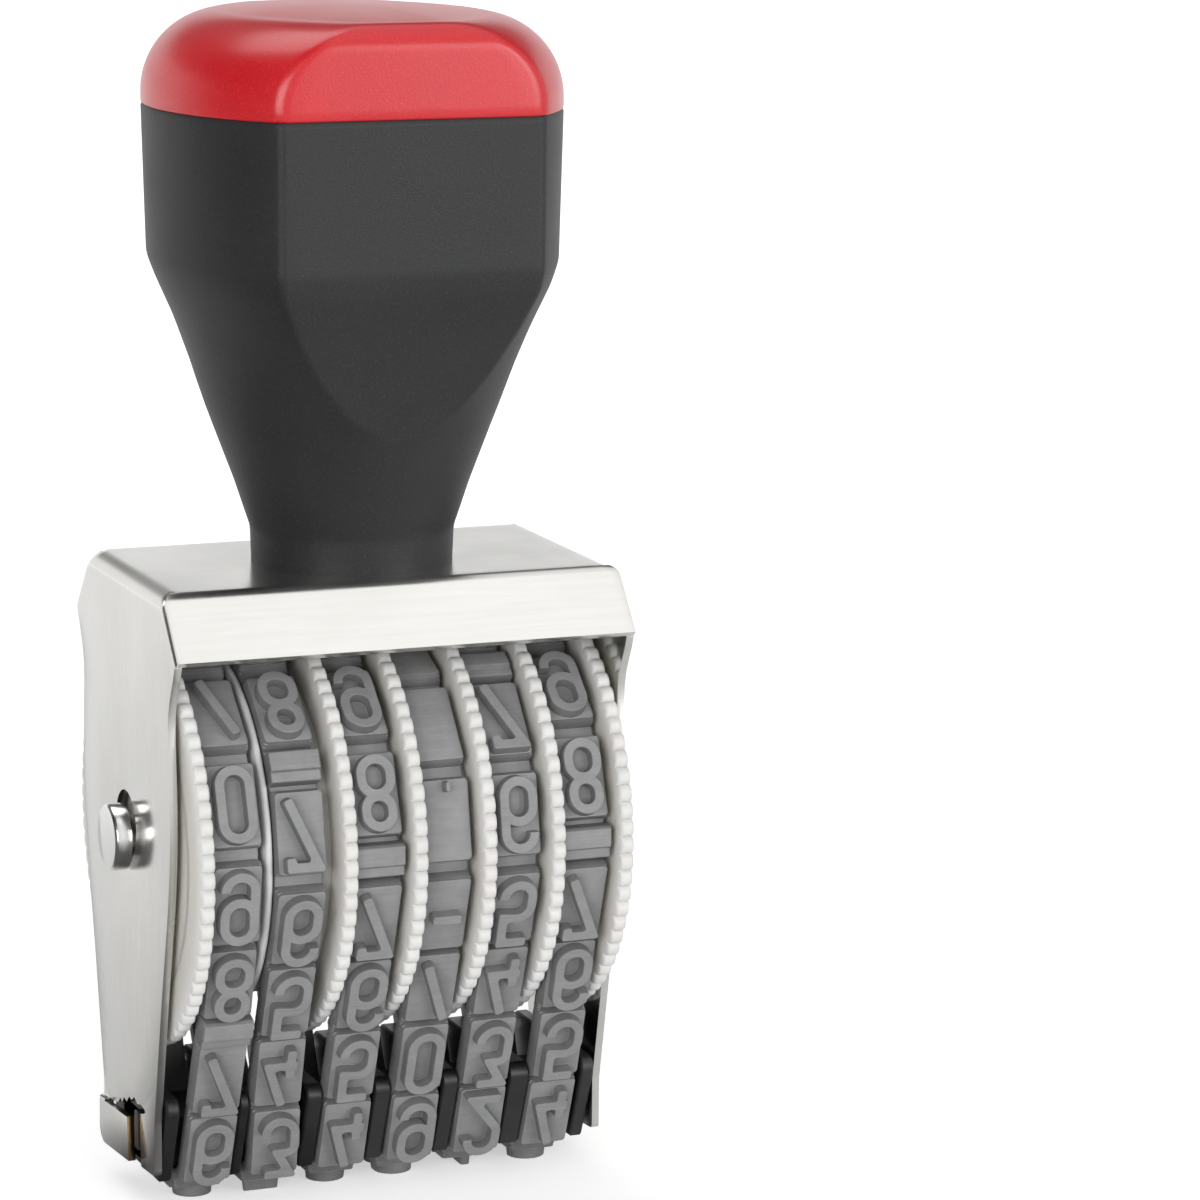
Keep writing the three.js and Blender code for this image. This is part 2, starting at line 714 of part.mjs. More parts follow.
// Grip section: flats front and rear of half width flat, joined by arcs through the side points
function gripRing(z, halfWidth, halfDepth, flat) {
  const { centre, radius } = gripArc(halfWidth, halfDepth, flat);
  const reach = Math.atan2(halfDepth, flat - centre);
  const ring = [];
  for (const side of [1, -1]) {
    for (let k = 0; k <= sideArcSteps; k += 1) {
      const turn = reach * (2 * k / sideArcSteps - 1);
      ring.push([side * (centre + radius * Math.cos(turn)), side * radius * Math.sin(turn), z]);
    }
  }
  return ring;
}

// Closed skin through rings of equal count, with a middle point on its last ring
function lofted(rings, crownZ) {
  const count = rings[0].length;
  const positions = rings.flat(2);
  const faces = [];
  rings.slice(1).forEach((ring, level) => {
    for (let i = 0; i < count; i += 1) {
      const next = (i + 1) % count;
      const [a, b] = [level * count + i, level * count + next];
      faces.push(a, b, b + count, a, b + count, a + count);
    }
  });
  positions.push(0, 0, rings[0][0][2], 0, 0, crownZ);
  const floor = rings.length * count;
  const top = (rings.length - 1) * count;
  for (let i = 0; i < count; i += 1) {
    const next = (i + 1) % count;
    faces.push(floor, next, i, floor + 1, top + i, top + next);
  }
  const geometry = new THREE.BufferGeometry();
  geometry.setAttribute('position', new THREE.Float32BufferAttribute(positions, 3));
  geometry.setIndex(faces);
  return geometry;
}

function handleBody() {
  const rings = gripShares.map(([height, width, depth, flat]) => gripRing(
    plateTopZ + height * seamHeight, width * gripHalfWidth, depth * gripHalfDepth, flat * gripFlatHalf));
  const seamZ = plateTopZ + seamHeight;
  rings.push(gripRing(seamZ - seamStep, gripHalfWidth, gripHalfDepth, gripFlatHalf));
  rings.push(gripRing(seamZ, gripHalfWidth - seamStep, gripHalfDepth - seamStep, gripFlatHalf));
  const socket = insertRadius + seatGap;
  const depth = insertRecess + insertLength + seatGap;
  const bore = turnedUpright([[0, -cutOverrun], [socket, -cutOverrun], [socket, depth], [0, depth]], plateTopZ);
  return geometryOf(solid(lofted(rings, seamZ)).subtract(solid(bore)));
}

// The side arcs draw in with the fillet, and the front and rear planes cut them until they meet
function handleCap() {
  const seamZ = plateTopZ + seamHeight;
  const wall = capHeight - capDome - capFillet;
  const { centre, radius } = gripArc(gripHalfWidth, gripHalfDepth, gripFlatHalf);
  const rings = [gripRing(seamZ, gripHalfWidth, gripHalfDepth, gripFlatHalf)];
  for (let k = 0; k <= capSteps; k += 1) {
    const turn = Math.PI / 2 * k / capSteps;
    const arcRadius = radius - capFillet * (1 - Math.cos(turn));
    const halfDepth = Math.min(gripHalfDepth, Math.sqrt(arcRadius ** 2 - centre ** 2));
    const flat = centre + Math.sqrt(arcRadius ** 2 - halfDepth ** 2);
    rings.push(gripRing(seamZ + wall + capFillet * Math.sin(turn), centre + arcRadius, halfDepth, flat));
  }
  return geometryOf(solid(lofted(rings, seamZ + capHeight)));
}

function handleScrew() {
  const headTop = plateUnderZ - washerThickness;
  return geometryOf(solid(turnedUpright([
    [0, -screwHeadHeight], [screwHeadRadius, -screwHeadHeight], [screwHeadRadius, 0],
    [screwRadius, 0], [screwRadius, screwLength], [0, screwLength],
  ], headTop)));
}

function ringSleeve(inner, outer, fromZ, toZ) {
  const profile = [[inner, 0], [outer, 0], [outer, toZ - fromZ], [inner, toZ - fromZ]];
  return geometryOf(solid(turnedUpright(profile, fromZ)));
}

const group = new THREE.Group();
group.name = 'numbering_stamp';

function add(name, geometry, look) {
  const mesh = new THREE.Mesh(geometry, look);
  mesh.name = name;
  group.add(mesh);
}

add('frame', frame(), material(0xc9c9c4, 0.32, 0.9));
add('axle', axle(), material(0xd8d8d8, 0.18, 1));
for (let i = 0; i < wheelCount; i += 1) {
  add(`setting_wheel_${i + 1}`, settingWheel(i), material(0xf1efe8, 0.55, 0));
}
add('separator_disc', separatorDisc(), material(0xf3f1ec, 0.5, 0));
for (let i = 0; i < wheelCount; i += 1) {
  add(`band_${i + 1}`, band(i), material(0x75777a, 0.8, 0));
}
add('bridge', bridge(), material(0x1b1b1c, 0.55, 0));
add('handle_body', handleBody(), material(0x232427, 0.6, 0));
add('handle_cap', handleCap(), material(0xc9232b, 0.42, 0));
add('handle_screw', handleScrew(), material(0xb9b9b5, 0.3, 1));
add('screw_washer', ringSleeve(screwRadius + seatGap, washerRadius, plateUnderZ - washerThickness, plateUnderZ),
  material(0xb9b9b5, 0.35, 1));
add('handle_insert', ringSleeve(screwRadius + seatGap, insertRadius, plateTopZ + insertRecess,
  plateTopZ + insertRecess + insertLength), material(0xb08d4a, 0.35, 1));

export default group;
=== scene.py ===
import math

import bmesh
import bpy
import numpy as np
from mathutils import Matrix, Vector
from mathutils.geometry import delaunay_2d_cdt


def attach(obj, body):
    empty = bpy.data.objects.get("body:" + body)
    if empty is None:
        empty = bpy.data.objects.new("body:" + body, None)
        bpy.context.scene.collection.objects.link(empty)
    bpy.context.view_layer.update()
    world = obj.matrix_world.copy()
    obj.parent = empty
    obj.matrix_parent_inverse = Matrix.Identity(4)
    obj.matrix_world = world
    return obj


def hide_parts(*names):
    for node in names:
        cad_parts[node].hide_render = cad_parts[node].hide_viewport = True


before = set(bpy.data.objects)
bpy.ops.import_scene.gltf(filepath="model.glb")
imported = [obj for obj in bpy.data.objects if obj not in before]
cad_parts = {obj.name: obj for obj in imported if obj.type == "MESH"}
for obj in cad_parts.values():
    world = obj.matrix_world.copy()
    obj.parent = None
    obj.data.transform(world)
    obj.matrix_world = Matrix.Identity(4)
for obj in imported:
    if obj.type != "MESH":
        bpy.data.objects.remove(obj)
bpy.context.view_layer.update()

MM = 0.001

# Gaps between parts that run on each other, between parts that sit together, and beside a band
RUN_GAP, SEAT_GAP, SIDE_GAP = 0.3, 0.3, 0.25

# Rubber number bands and their type
GLYPH_HEIGHT, GLYPH_WIDTH, STROKE = 9.0, 4.65, 1.14
RELIEF, PLINTH, BELT, BAND_WIDTH, BAND_SLIM = 1.3, 1.2, 1.3, 6.3, 0.3
BAND_HEIGHT = BELT + PLINTH + RELIEF
BAND_HALF, MID_BAND = (BAND_WIDTH - BAND_SLIM) / 2, 2.0
SPLICE_LENGTH, SPLICE_HEIGHT, TILE_GAP = 3.3, 2.2, 0.6
FIGURES, BEFORE_SPLICE, PRINTED = "1234567890/-.  ", 7, "523813"
# Each band's step to one side on the bridge and on its wheel, and the heights between which that changes
BAND_SIDEWAYS = ((0.3, -0.2, 22, 40), (0, -1.1, 5, 18), (-0.1, -0.35, 5, 18),
                 (0, -0.35, 5, 18), (0, -0.3, 5, 18), (0.3, -0.3, 12, 33))
# Figures: rolled edge of the face, draft of the walls, depth in the plinth, round of the face's corners
FACE_ROLL, FIGURE_DRAFT, FIGURE_ROOT, FACE_ROUND = 0.07, 0.16, 0.3, 0.32
# Cross-sections along a belt, count and depth of the fine ribs on its sides, and the chamfer of its section
BELT_STEPS, BELT_RIBS, RIB_DEPTH, BELT_EDGE = 480, 150, 0.05, 0.15
# A face counts as a side wall as its normal's share of the outward way falls from the first to the second
WALL_FROM, WALL_FULL = 0.93, 0.68

# Setting wheels, the thin disc between the first two, and the axle
WHEELS, TEETH, TIP_RADIUS, TOOTH_DEPTH, LOBE_POWER = 6, 74, 24.86, 0.9, 0.45
TOOTH_STEPS, TURN_STEPS, DISC_STEPS = 12, 96, 160
RIM_WIDTH, DRUM_RADIUS, DRUM_WALL, WEB, HUB_RADIUS, DRUM_EASE = 1.7, 19.6, 1.8, 2.0, 7.0, 0.2
WHEEL_PITCH = BAND_WIDTH + RIM_WIDTH + 2 * SIDE_GAP
WHEEL_WIDTH = WHEEL_PITCH - RUN_GAP
DISC_SPACE, DISC_RADIUS, DISC_HALF, DISC_SHIFT, BOSS_RADIUS, BOSS_EASE = 2.4, 21.9, 0.4, -0.45, 6.5, 0.3
STACK_HALF = (WHEELS * WHEEL_PITCH - 2 * RUN_GAP + DISC_SPACE) / 2
AXLE_Z, AXLE_RADIUS, AXLE_STANDOUT = 43.65, 3.95, 2.4
# Points of the pin's chamfer: in from its radius and back from its end
PIN_CHAMFER = ((0.36, 0), (0.28, 0.03), (0.05, 0.26), (0, 0.38))

# Frame
SHEET, CHEEK_ROOM = 0.9, 0.7
CHEEK_IN = STACK_HALF + CHEEK_ROOM
CHEEK_OUT = CHEEK_IN + SHEET
PLATE_Z, PLATE_HALF, LIP_DROP, LIP_REACH = 75.2, 15.2, 6.9, 5.7
LIP_ANGLE = math.atan2(LIP_DROP, LIP_REACH)
CORNER, FOLD, LIP_CORNER, LIP_HALF, REAR_LIP_PAST = 2.2, 2.1, 1.1, 27.8, 0.6
FLAT_X, FLAT_Y = CHEEK_OUT - CORNER, PLATE_HALF - FOLD * math.tan(LIP_ANGLE / 2)
SHARES_X, SHARES_Y = np.linspace(-1, 1, 41), np.linspace(-1, 1, 25)
CHEEK_HALF, FLARE_Z, FLARE_ROUND = 17.8, 67.7, 0.5
FOLD_STEPS, CORNER_STEPS, CURVE_STEPS = 9, 13, 8
# Bevel of the sheet's cut edges, and how near to each other points of the skin are joined
RIM_BEVEL, WELD = 0.13, 0.002
FOOT_FRONT_Z, FOOT_REAR_Z, FOOT_PRESS = 5.0, 3.6, 0.6
FOOT_FRONT_ROUND, FOOT_REAR_ROUND, FOOT_TALL = 0.6, 2.0, 6.0
PANEL_TOP_Z, PANEL_REAR = 9.0, 20.0
HOLE_Z, HOLE_RADIUS = 45.05, 4.1
SLOT_Y, SLOT_WIDTH, RELIEF_CUT = -3.0, 2.4, 0.45
# Edge of a cheek from the foot to the flare: shares of its half width and of its height
CHEEK_EDGE = ((.584, .099), (.629, .159), (.775, .351), (.871, .463), (.944, .558), (.989, .654),
              (.992, .73), (.978, .797), (.964, .877), (.986, .917), (1.034, .949), (1.079, .973))
# Torn slot in a foot, seen from the side: its straight lower part, the slit behind it, and the ragged top
FOOT_CUT = ((-5.3, -3.0), (-2.6, -3.0), (-1.1, 9.7), (8.3, 9.0), (8.5, 9.25), (8.2, 9.45), (5.6, 9.5),
            (4.3, 10.0), (3.5, 10.7), (2.8, 10.35), (2.0, 11.2), (0.9, 10.95), (-0.2, 11.9), (-1.1, 11.7),
            (-2.3, 12.4), (-3.5, 11.9), (-5.0, 12.25), (-6.5, 12.05), (-6.8, 11.75), (-5.7, 11.3),
            (-4.5, 11.0))

# Belt path: flat under the anvil, round its nose, up the straight run and round the drum
ANVIL_FLAT, NOSE, ANVIL_HEIGHT, ANVIL_ROUND = 4.2, 2.0, 6.2, 1.5
NOSE_Z = BAND_HEIGHT + NOSE + RUN_GAP
BELT_DRUM, BELT_NOSE = DRUM_RADIUS + RUN_GAP, NOSE + RUN_GAP

# Fins of the bridge, as half width, height and corner radius at the foot and top, and the lugs in the slots
FIN_FOOT, FIN_TOP, FIN_PLAY = (7.8, 3.4, 0.4), (12.4, 14.4, 1.5), 0.12
LUG_LOW, LUG_HIGH, LUG_ROUND = 6.2, 10.9, 0.3

# Handle: the grip's table gives shares of its half width, half depth and flat front at shares of its height
SEAM_Z, CAP_HEIGHT, CAP_FILLET, CAP_BROW, CAP_DOME = 128.8, 11.6, 9.4, 3.0, 0.9
GRIP_WIDTH, GRIP_DEPTH, GRIP_FLAT = 24.1, 21.6, 15.7
GRIP_EASE, CAP_EASE, SEAM_ROUND, SEAM_INSET = 0.7, 1.3, 0.3, 0.25
RIM_EASE_SPREAD, FLAT_EASE_SPREAD, GRIP_RINGS, ARC_STEPS, FLAT_STEPS = 0.008, 0.012, 140, 20, 8
GRIP = np.array([
    [0, .493, .55, .04], [.078, .5, .558, .04], [.088, .51, .569, .04], [.177, .575, .641, .05],
    [.306, .683, .758, .06], [.323, .697, .767, .22], [.345, .714, .782, .34], [.39, .746, .81, .5],
    [.448, .784, .846, .66], [.541, .853, .912, .85], [.625, .933, .977, .98], [.672, .975, 1, 1],
    [1, 1, 1, 1]])

# Screw, washer and threaded insert, and how near to the middle line a profile starts
POLE = 0.001
HEAD_RADIUS, HEAD_HEIGHT, HEAD_ROUND, HEAD_DRAFT = 4.4, 2.6, 1.4, 1.0
SOCKET_RADIUS, SOCKET_DEPTH, SOCKET_DRAFT = 1.5, 1.0, 0.1
SHANK_RADIUS, SHANK_LENGTH, SHANK_EASE = 2.4, 12.0, 0.4
WASHER_BORE, WASHER_RADIUS, WASHER_THICK, WASHER_EASE = 2.7, 6.0, 0.9, 0.15
INSERT_RADIUS, INSERT_LENGTH, INSERT_LOW, KNURL_PITCH, KNURL_DEPTH = 4.1, 10.0, 0.6, 1.25, 0.1


# Outlines

def rounded(corners, steps):
    """Closed outline: each corner (x, y, radius) becomes an arc that touches both of its sides."""
    corners = [tuple(map(float, corner)) for corner in corners]
    outline = []
    for i, (x, y, radius) in enumerate(corners):
        here = np.array([x, y])
        if radius <= 0:
            outline.append(here[None])
            continue
        back = np.array(corners[i - 1][:2]) - here
        ahead = np.array(corners[(i + 1) % len(corners)][:2]) - here
        back, ahead = back / np.linalg.norm(back), ahead / np.linalg.norm(ahead)
        half = math.acos(max(-1.0, min(1.0, float(back @ ahead)))) / 2
        middle = here + (back + ahead) / np.linalg.norm(back + ahead) * radius / math.sin(half)
        first = here + back * radius / math.tan(half) - middle
        last = here + ahead * radius / math.tan(half) - middle
        start = math.atan2(first[1], first[0])
        sweep = math.atan2(last[1], last[0]) - start
        sweep = math.atan2(math.sin(sweep), math.cos(sweep))
        turn = start + sweep * np.linspace(0, 1, steps + 1)
        outline.append(middle + radius * np.stack([np.cos(turn), np.sin(turn)], -1))
    return np.vstack(outline)


def keystone(foot, top, steps, middle=0):
    """Four-sided outline, alike on both sides of its middle. Foot and top: half width, height, radius."""
    (a, low, foot_round), (b, high, top_round) = foot, top
    return rounded([(middle - a, low, foot_round), (middle + a, low, foot_round),
                    (middle + b, high, top_round), (middle - b, high, top_round)], steps)


def beside(line, distance, loop=True):
    """Line moved to its left: each point goes along the mean of its two sides' normals, over their cosine."""
    ahead = np.roll(line, -1, 0) - line if loop else np.diff(line, axis=0)
    ahead /= np.linalg.norm(ahead, axis=1, keepdims=True)
    normal = np.stack([-ahead[:, 1], ahead[:, 0]], -1)
    if loop:
        before = np.roll(normal, 1, 0)
    else:
        before, normal = np.vstack([normal[:1], normal]), np.vstack([normal, normal[-1:]])
    mean = normal + before
    return line + distance * 2 * mean / np.sum(mean ** 2, 1, keepdims=True)


def inset(outline, distance):
    """Closed outline moved inwards, whichever way round it goes: the sign of its shoelace sum tells."""
    x, y = outline.T
    return beside(outline, math.copysign(distance, np.sum(x * np.roll(y, -1) - np.roll(x, -1) * y)))


def smooth_curve(points, steps):
    """Curve through points: each stretch is the cubic with the mean slopes of its neighbours."""
    points = np.asarray(points, float)
    padded = np.vstack([2 * points[0] - points[1], points, 2 * points[-1] - points[-2]])
    t = np.linspace(0, 1, steps, endpoint=False)[None, :, None]
    a, b, c, d = padded[:-3, None], padded[1:-2, None], padded[2:-1, None], padded[3:, None]
    curve = .5 * (2 * b + (c - a) * t + (2 * a - 5 * b + 4 * c - d) * t ** 2
                  + (3 * b - a - 3 * c + d) * t ** 3)
    return np.vstack([curve.reshape(-1, 2), points[-1]])


def eased(t):
    """Nought to one with level ends: three squares less two cubes."""
    return t * t * (3 - 2 * t)


def circle(steps):
    """Angles of a whole turn, without the last, which is the first again."""
    return np.linspace(0, 2 * np.pi, steps, endpoint=False)


# Grids of points and the shells made of them

def grid_of(x, y, z):
    """Grid of points from three arrays that fill each other out."""
    return np.stack(np.broadcast_arrays(x, y, z), -1)


def cells(rows, cols, rows_meet=False, cols_meet=True):
    """Faces of a grid of points numbered row by row: each joins (i, j), (i, j+1), (i+1, j+1) and (i+1, j)."""
    i, j = np.meshgrid(np.arange(rows - (not rows_meet)), np.arange(cols - (not cols_meet)), indexing="ij")
    n, m = (i + 1) % rows, (j + 1) % cols
    return np.stack([i * cols + j, i * cols + m, n * cols + m, n * cols + j], -1).reshape(-1, 4)


def volume(points, blocks):
    """Signed volume: a sixth of the sum of the triple products of each fan triangle's corners."""
    total = 0.0
    for faces in blocks:
        for k in range(1, faces.shape[1] - 1):
            a, b, c = points[faces[:, 0]], points[faces[:, k]], points[faces[:, k + 1]]
            total += np.einsum("ij,ij->", a, np.cross(b, c)) / 6
    return total


def closed(points, *blocks):
    """A shell whose faces are turned round where its signed volume comes out negative."""
    blocks = [faces for faces in blocks if len(faces)]
    if volume(points, blocks) < 0:
        blocks = [faces[:, ::-1] for faces in blocks]
    return points, blocks


def torus(grid):
    """Rows by columns of points, closed both ways, with each cell taken the other way round."""
    return closed(grid.reshape(-1, 3), cells(*grid.shape[:2], rows_meet=True)[:, [0, 3, 2, 1]])


def skin(grid, start=None, end=None):
    """Rings of points, closed around. Each end is shut by one face, or by a fan to a middle point."""
    rings, count = grid.shape[:2]
    points = grid.reshape(-1, 3)
    k = np.arange(count)
    ends = []
    for base, middle, order in ((0, start, -1), ((rings - 1) * count, end, 1)):
        if middle is None:
            ends.append((base + k)[None, ::order])
        else:
            apex = np.full(count, len(points))
            points = np.vstack([points, middle])
            ends.append(np.stack([base + k, base + (k + 1) % count, apex], -1)[:, ::order])
    return closed(points, cells(rings, count), *ends)


def slab(outline, low, high, edge):
    """Rings of an outline carried along X from low to high, its two rims chamfered by edge."""
    inner = inset(outline, edge)
    stations = ((low, inner), (low + edge, outline), (high - edge, outline), (high, inner))
    return np.stack([np.insert(ring, 0, at, axis=1) for at, ring in stations])


def swept(profile, steps, upright=False):
    """A ring for each (radius, along) point of a profile, round the axle or round the handle's middle."""
    radius, along = np.asarray(profile, float).T[:, :, None]
    first, second = radius * np.cos(circle(steps)), radius * np.sin(circle(steps))
    return grid_of(first, second, along) if upright else grid_of(along, first, AXLE_Z + second)


def turned(profile, steps, upright=False):
    """Closed profile carried through a whole turn."""
    return torus(swept(profile, steps, upright).transpose(1, 0, 2))


def joined(name, shells):
    """Mesh in metres of shells in millimetres, each with its points and its blocks of faces."""
    faces, base = [], 0
    for points, blocks in shells:
        for block in blocks:
            faces.extend((block + base).tolist())
        base += len(points)
    mesh = bpy.data.meshes.new(name)
    mesh.from_pydata((np.vstack([points for points, _ in shells]) * MM).tolist(), [], faces)
    mesh.shade_smooth()
    return mesh


def place(name, mesh, look, body, nodes):
    """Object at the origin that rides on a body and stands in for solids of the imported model."""
    mesh.materials.append(look)
    thing = bpy.data.objects.new(name, mesh)
    bpy.context.scene.collection.objects.link(thing)
    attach(thing, body)
    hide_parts(*nodes)
    return thing


def piece(name, shells, look, body, nodes, sharp=35.0):
    """One object from shells, smooth except at edges over the sharp angle."""
    mesh = joined(name, shells)
    mesh.set_sharp_from_angle(angle=math.radians(sharp))
    return place(name, mesh, look, body, nodes)


# Materials

class Pattern:
    """A node tree, with a short word for each kind of node that a look is worked out by."""

    def __init__(self, tree):
        self.tree = tree

    def feed(self, made, inputs):
        """Each input of a node takes a value, or a link from another node's output."""
        for key, value in inputs.items():
            if isinstance(value, bpy.types.NodeSocket):
                self.tree.links.new(value, made.inputs[key])
            else:
                made.inputs[key].default_value = value

    def node(self, kind, output, inputs, **settings):
        """A new node with its settings and inputs, and of it the named output."""
        made = self.tree.nodes.new("ShaderNode" + kind)
        for key, value in settings.items():
            setattr(made, key, value)
        self.feed(made, inputs)
        return made.outputs[output]

    def place(self, kind="Object"):
        """Texture coordinates of a kind."""
        return self.node("TexCoord", kind, {})

    def ray(self, kind):
        """One for a kind of ray, and nought for the others."""
        return self.node("LightPath", f"Is {kind} Ray", {})

    def part(self, vector, letter):
        """The X, Y or Z of a vector."""
        return self.node("SeparateXYZ", letter, {"Vector": vector})

    def vector(self, operation, output, *inputs):
        """A sum on vectors."""
        return self.node("VectorMath", output, dict(enumerate(inputs)), operation=operation)

    def stretched(self, scale=(1, 1, 1)):
        """Object coordinates multiplied by a scale in each direction, in metres."""
        return self.node("Mapping", "Vector", {"Vector": self.place(), "Scale": scale})

    def noise(self, scale, detail=4.0, rough=0.55):
        """Cloudy noise with a scale for all directions, or one for each."""
        each = isinstance(scale, tuple)
        return self.node("TexNoise", "Fac", {
            "Vector": self.stretched(scale if each else (1, 1, 1)), "Scale": 1.0 if each else scale,
            "Detail": detail, "Roughness": rough})

    def span(self, value, low, high, from_low=0.3, from_high=0.7):
        """Low to high while a value goes through a range, and level outside it."""
        return self.node("MapRange", "Result", {
            "Value": value, "From Min": from_low, "From Max": from_high, "To Min": low, "To Max": high})

    def mixed(self, factor, first, second):
        """Colour between two, each given as a tuple or by another node."""
        first, second = ((*colour, 1) if isinstance(colour, tuple) else colour for colour in (first, second))
        return self.node("Mix", "Result", {"Factor": factor, "A": first, "B": second}, data_type="RGBA")

    def times(self, first, second):
        """Product."""
        return self.node("Math", "Value", {0: first, 1: second}, operation="MULTIPLY")

    def plus(self, first, second):
        """Sum, held at one."""
        return self.node("Math", "Value", {0: first, 1: second}, operation="ADD", use_clamp=True)

    def edges(self, radius):
        """Share of a rounded edge: how far the rounded normal leans away from the plain one."""
        soft = self.node("Bevel", "Normal", {"Radius": radius * MM}, samples=4)
        plain = self.node("NewGeometry", "Normal", {})
        return self.span(self.vector("DOT_PRODUCT", "Value", soft, plain), 1, 0, 0.86, 0.995)


class Finish(Pattern):
    """A new material: its surface shader, and the pattern that drives it."""

    def __init__(self, name, colour, roughness, metallic=0.0):
        self.look = bpy.data.materials.new(name)
        self.look.use_nodes = True
        super().__init__(self.look.node_tree)
        self.shader = self.tree.nodes["Principled BSDF"]
        self.surface({"Base Color": (*colour, 1), "Roughness": roughness, "Metallic": metallic})

    def surface(self, inputs):
        """Inputs of the surface shader."""
        self.feed(self.shader, inputs)

    def bumps(self, *layers):
        """Bumps laid one on another: each layer is (height, strength, distance in millimetres)."""
        below = {}
        for height, strength, distance in layers:
            inputs = {"Height": height, "Strength": strength, "Distance": distance * MM}
            below = {"Normal": self.node("Bump", "Normal", {**inputs, **below})}
        self.surface(below)


def plated_sheet():
    """Satin nickel plate: fine rolling lines across the sheet, soft cloudy patches, faint handling marks and
    pits, and golden brown tarnish on the cut edges round the foot slots. The tarnish fades by the distance of
    the shrunk place from its own middle, so it reaches a little further up than to the sides."""
    shrink, tarnish_middle = (0, -0.8, 0.6), (0, 2.2 * MM, 5 * MM)
    plate = Finish("plated_sheet", (0.75, 0.74, 0.71), 0.24, 1.0)
    lines, brushed = plate.noise((40, 60, 2600), 3.0), plate.noise((60, 1900, 260), 4.0, 0.6)
    grain, clouds = plate.noise(3600.0, 2.0, 0.6), plate.noise(70.0)
    marks = plate.noise((900, 900, 500), 6.0, 0.7)
    sheet = plate.mixed(plate.span(clouds, 0, 1), (0.71, 0.70, 0.672), (0.785, 0.777, 0.75))
    lined = plate.mixed(plate.span(brushed, 0, 0.3), sheet, (0.62, 0.61, 0.58))
    away = plate.vector("DISTANCE", "Value", plate.stretched(shrink), tarnish_middle)
    sideways = plate.node("Math", "Value", {0: plate.part(plate.place("Normal"), "X")}, operation="ABSOLUTE")
    cut = plate.times(plate.span(sideways, 1, 0, 0.4, 0.9), plate.span(away, 1, 0, 3 * MM, 5.5 * MM))
    tarnished = plate.mixed(plate.times(cut, plate.span(marks, 0.75, 1)), lined, (0.42, 0.27, 0.13))
    on_cheek = plate.span(sideways, 1, 0.72, 0.6, 0.95)
    satin = plate.times(plate.span(clouds, 0.19, 0.28), on_cheek)
    plate.surface({"Base Color": tarnished, "Roughness": satin})
    plate.bumps((lines, 0.05, 0.02), (brushed, 0.08, 0.01), (marks, 0.08, 0.02), (grain, 0.12, 0.01))
    return plate.look


def polished_steel():
    """Polished turned pin: fine rings about the axle, and a slightly mottled shine."""
    pin = Finish("polished_steel", (0.80, 0.795, 0.785), 0.16, 1.0)
    pin.surface({"Roughness": pin.span(pin.noise(320.0, 3.0), 0.12, 0.24)})
    pin.bumps((pin.noise((5000, 60, 60), 2.0), 0.08, 0.01))
    return pin.look


def wheel_plastic(name, deep_shade_tone):
    """Off-white moulded plastic: faint cloudiness, a fine eroded skin, and another tone nearer to the axle,
    by the
    distance from it, painted there as shade: on the wheels the flanks turn darker and warmer deep by the
    band."""
    plastic = Finish(name, (0.78, 0.77, 0.74), 0.46)
    clouds = plastic.noise(120.0)
    clouded_tone = plastic.mixed(plastic.span(clouds, 0, 1), (0.75, 0.742, 0.72), (0.81, 0.803, 0.785))
    from_axle = plastic.vector("SUBTRACT", "Vector", plastic.stretched((0, 1, 1)), (0, 0, AXLE_Z * MM))
    radius = plastic.vector("LENGTH", "Value", from_axle)
    # Painted shade: below 23.6 mm from the axle the colour turns to the deep shade tone, darkening the flanks
    # by the band.
    colour = plastic.mixed(plastic.span(radius, 1, 0, 21.6 * MM, 23.6 * MM), clouded_tone, deep_shade_tone)
    plastic.surface({
        "Base Color": colour, "Roughness": plastic.span(clouds, 0.40, 0.52), "Subsurface Weight": 0.45,
        "Subsurface Radius": (0.0022, 0.002, 0.0016), "Subsurface Scale": 1.0})
    plastic.bumps((plastic.noise(2600.0, 3.0), 0.10, 0.03))
    return plastic.look


def band_rubber():
    """Vulcanised grey rubber: powdery lighter bloom in patches and across the band in streaks, painted shade
    darkening the side walls, paler rounded edges, fine pitted skin."""
    rubber = Finish("band_rubber", (0.24, 0.241, 0.243), 0.6)
    clouds, streaks = rubber.noise(260.0, 6.0, 0.65), rubber.noise((160, 2600, 2600), 4.0, 0.6)
    specks, pits = rubber.noise(1800.0, 3.0), rubber.noise(4200.0, 2.0)
    bloom = rubber.mixed(rubber.span(clouds, 0, 1), (0.232, 0.233, 0.235), (0.302, 0.303, 0.305))
    lined = rubber.mixed(rubber.span(streaks, 0, 0.5, 0.42, 0.75), bloom, (0.335, 0.336, 0.338))
    wall = rubber.node("Attribute", "Fac", {}, attribute_name="side_wall")
    # Painted shade: side walls, and with them the gaps between tiles, turn near black, a little less where
    # the clouds run high.
    wall_shade = rubber.times(wall, rubber.span(clouds, 0.85, 0.55))
    wall_shaded = rubber.mixed(wall_shade, lined, (0.135, 0.1355, 0.137))
    # Paler colour on the rounded edges, found by a bevel of 0.12 mm.
    pale_edged = rubber.mixed(rubber.edges(0.12), wall_shaded, (0.36, 0.362, 0.365))
    rubber.surface({"Base Color": pale_edged, "Roughness": rubber.span(specks, 0.48, 0.68)})
    rubber.bumps((streaks, 0.10, 0.04), (clouds, 0.16, 0.08), (pits, 0.14, 0.03))
    return rubber.look


def black_bridge():
    """Black moulded plastic with a satin skin and faint flow marks."""
    plastic = Finish("bridge_plastic", (0.016, 0.016, 0.017), 0.38)
    clouds = plastic.noise((60, 160, 160))
    colour = plastic.mixed(plastic.span(clouds, 0, 1), (0.012, 0.012, 0.013), (0.022, 0.022, 0.023))
    plastic.surface({"Base Color": colour, "Roughness": plastic.span(clouds, 0.3, 0.48)})
    plastic.bumps((plastic.noise(2400.0, 3.0), 0.12, 0.03))
    return plastic.look


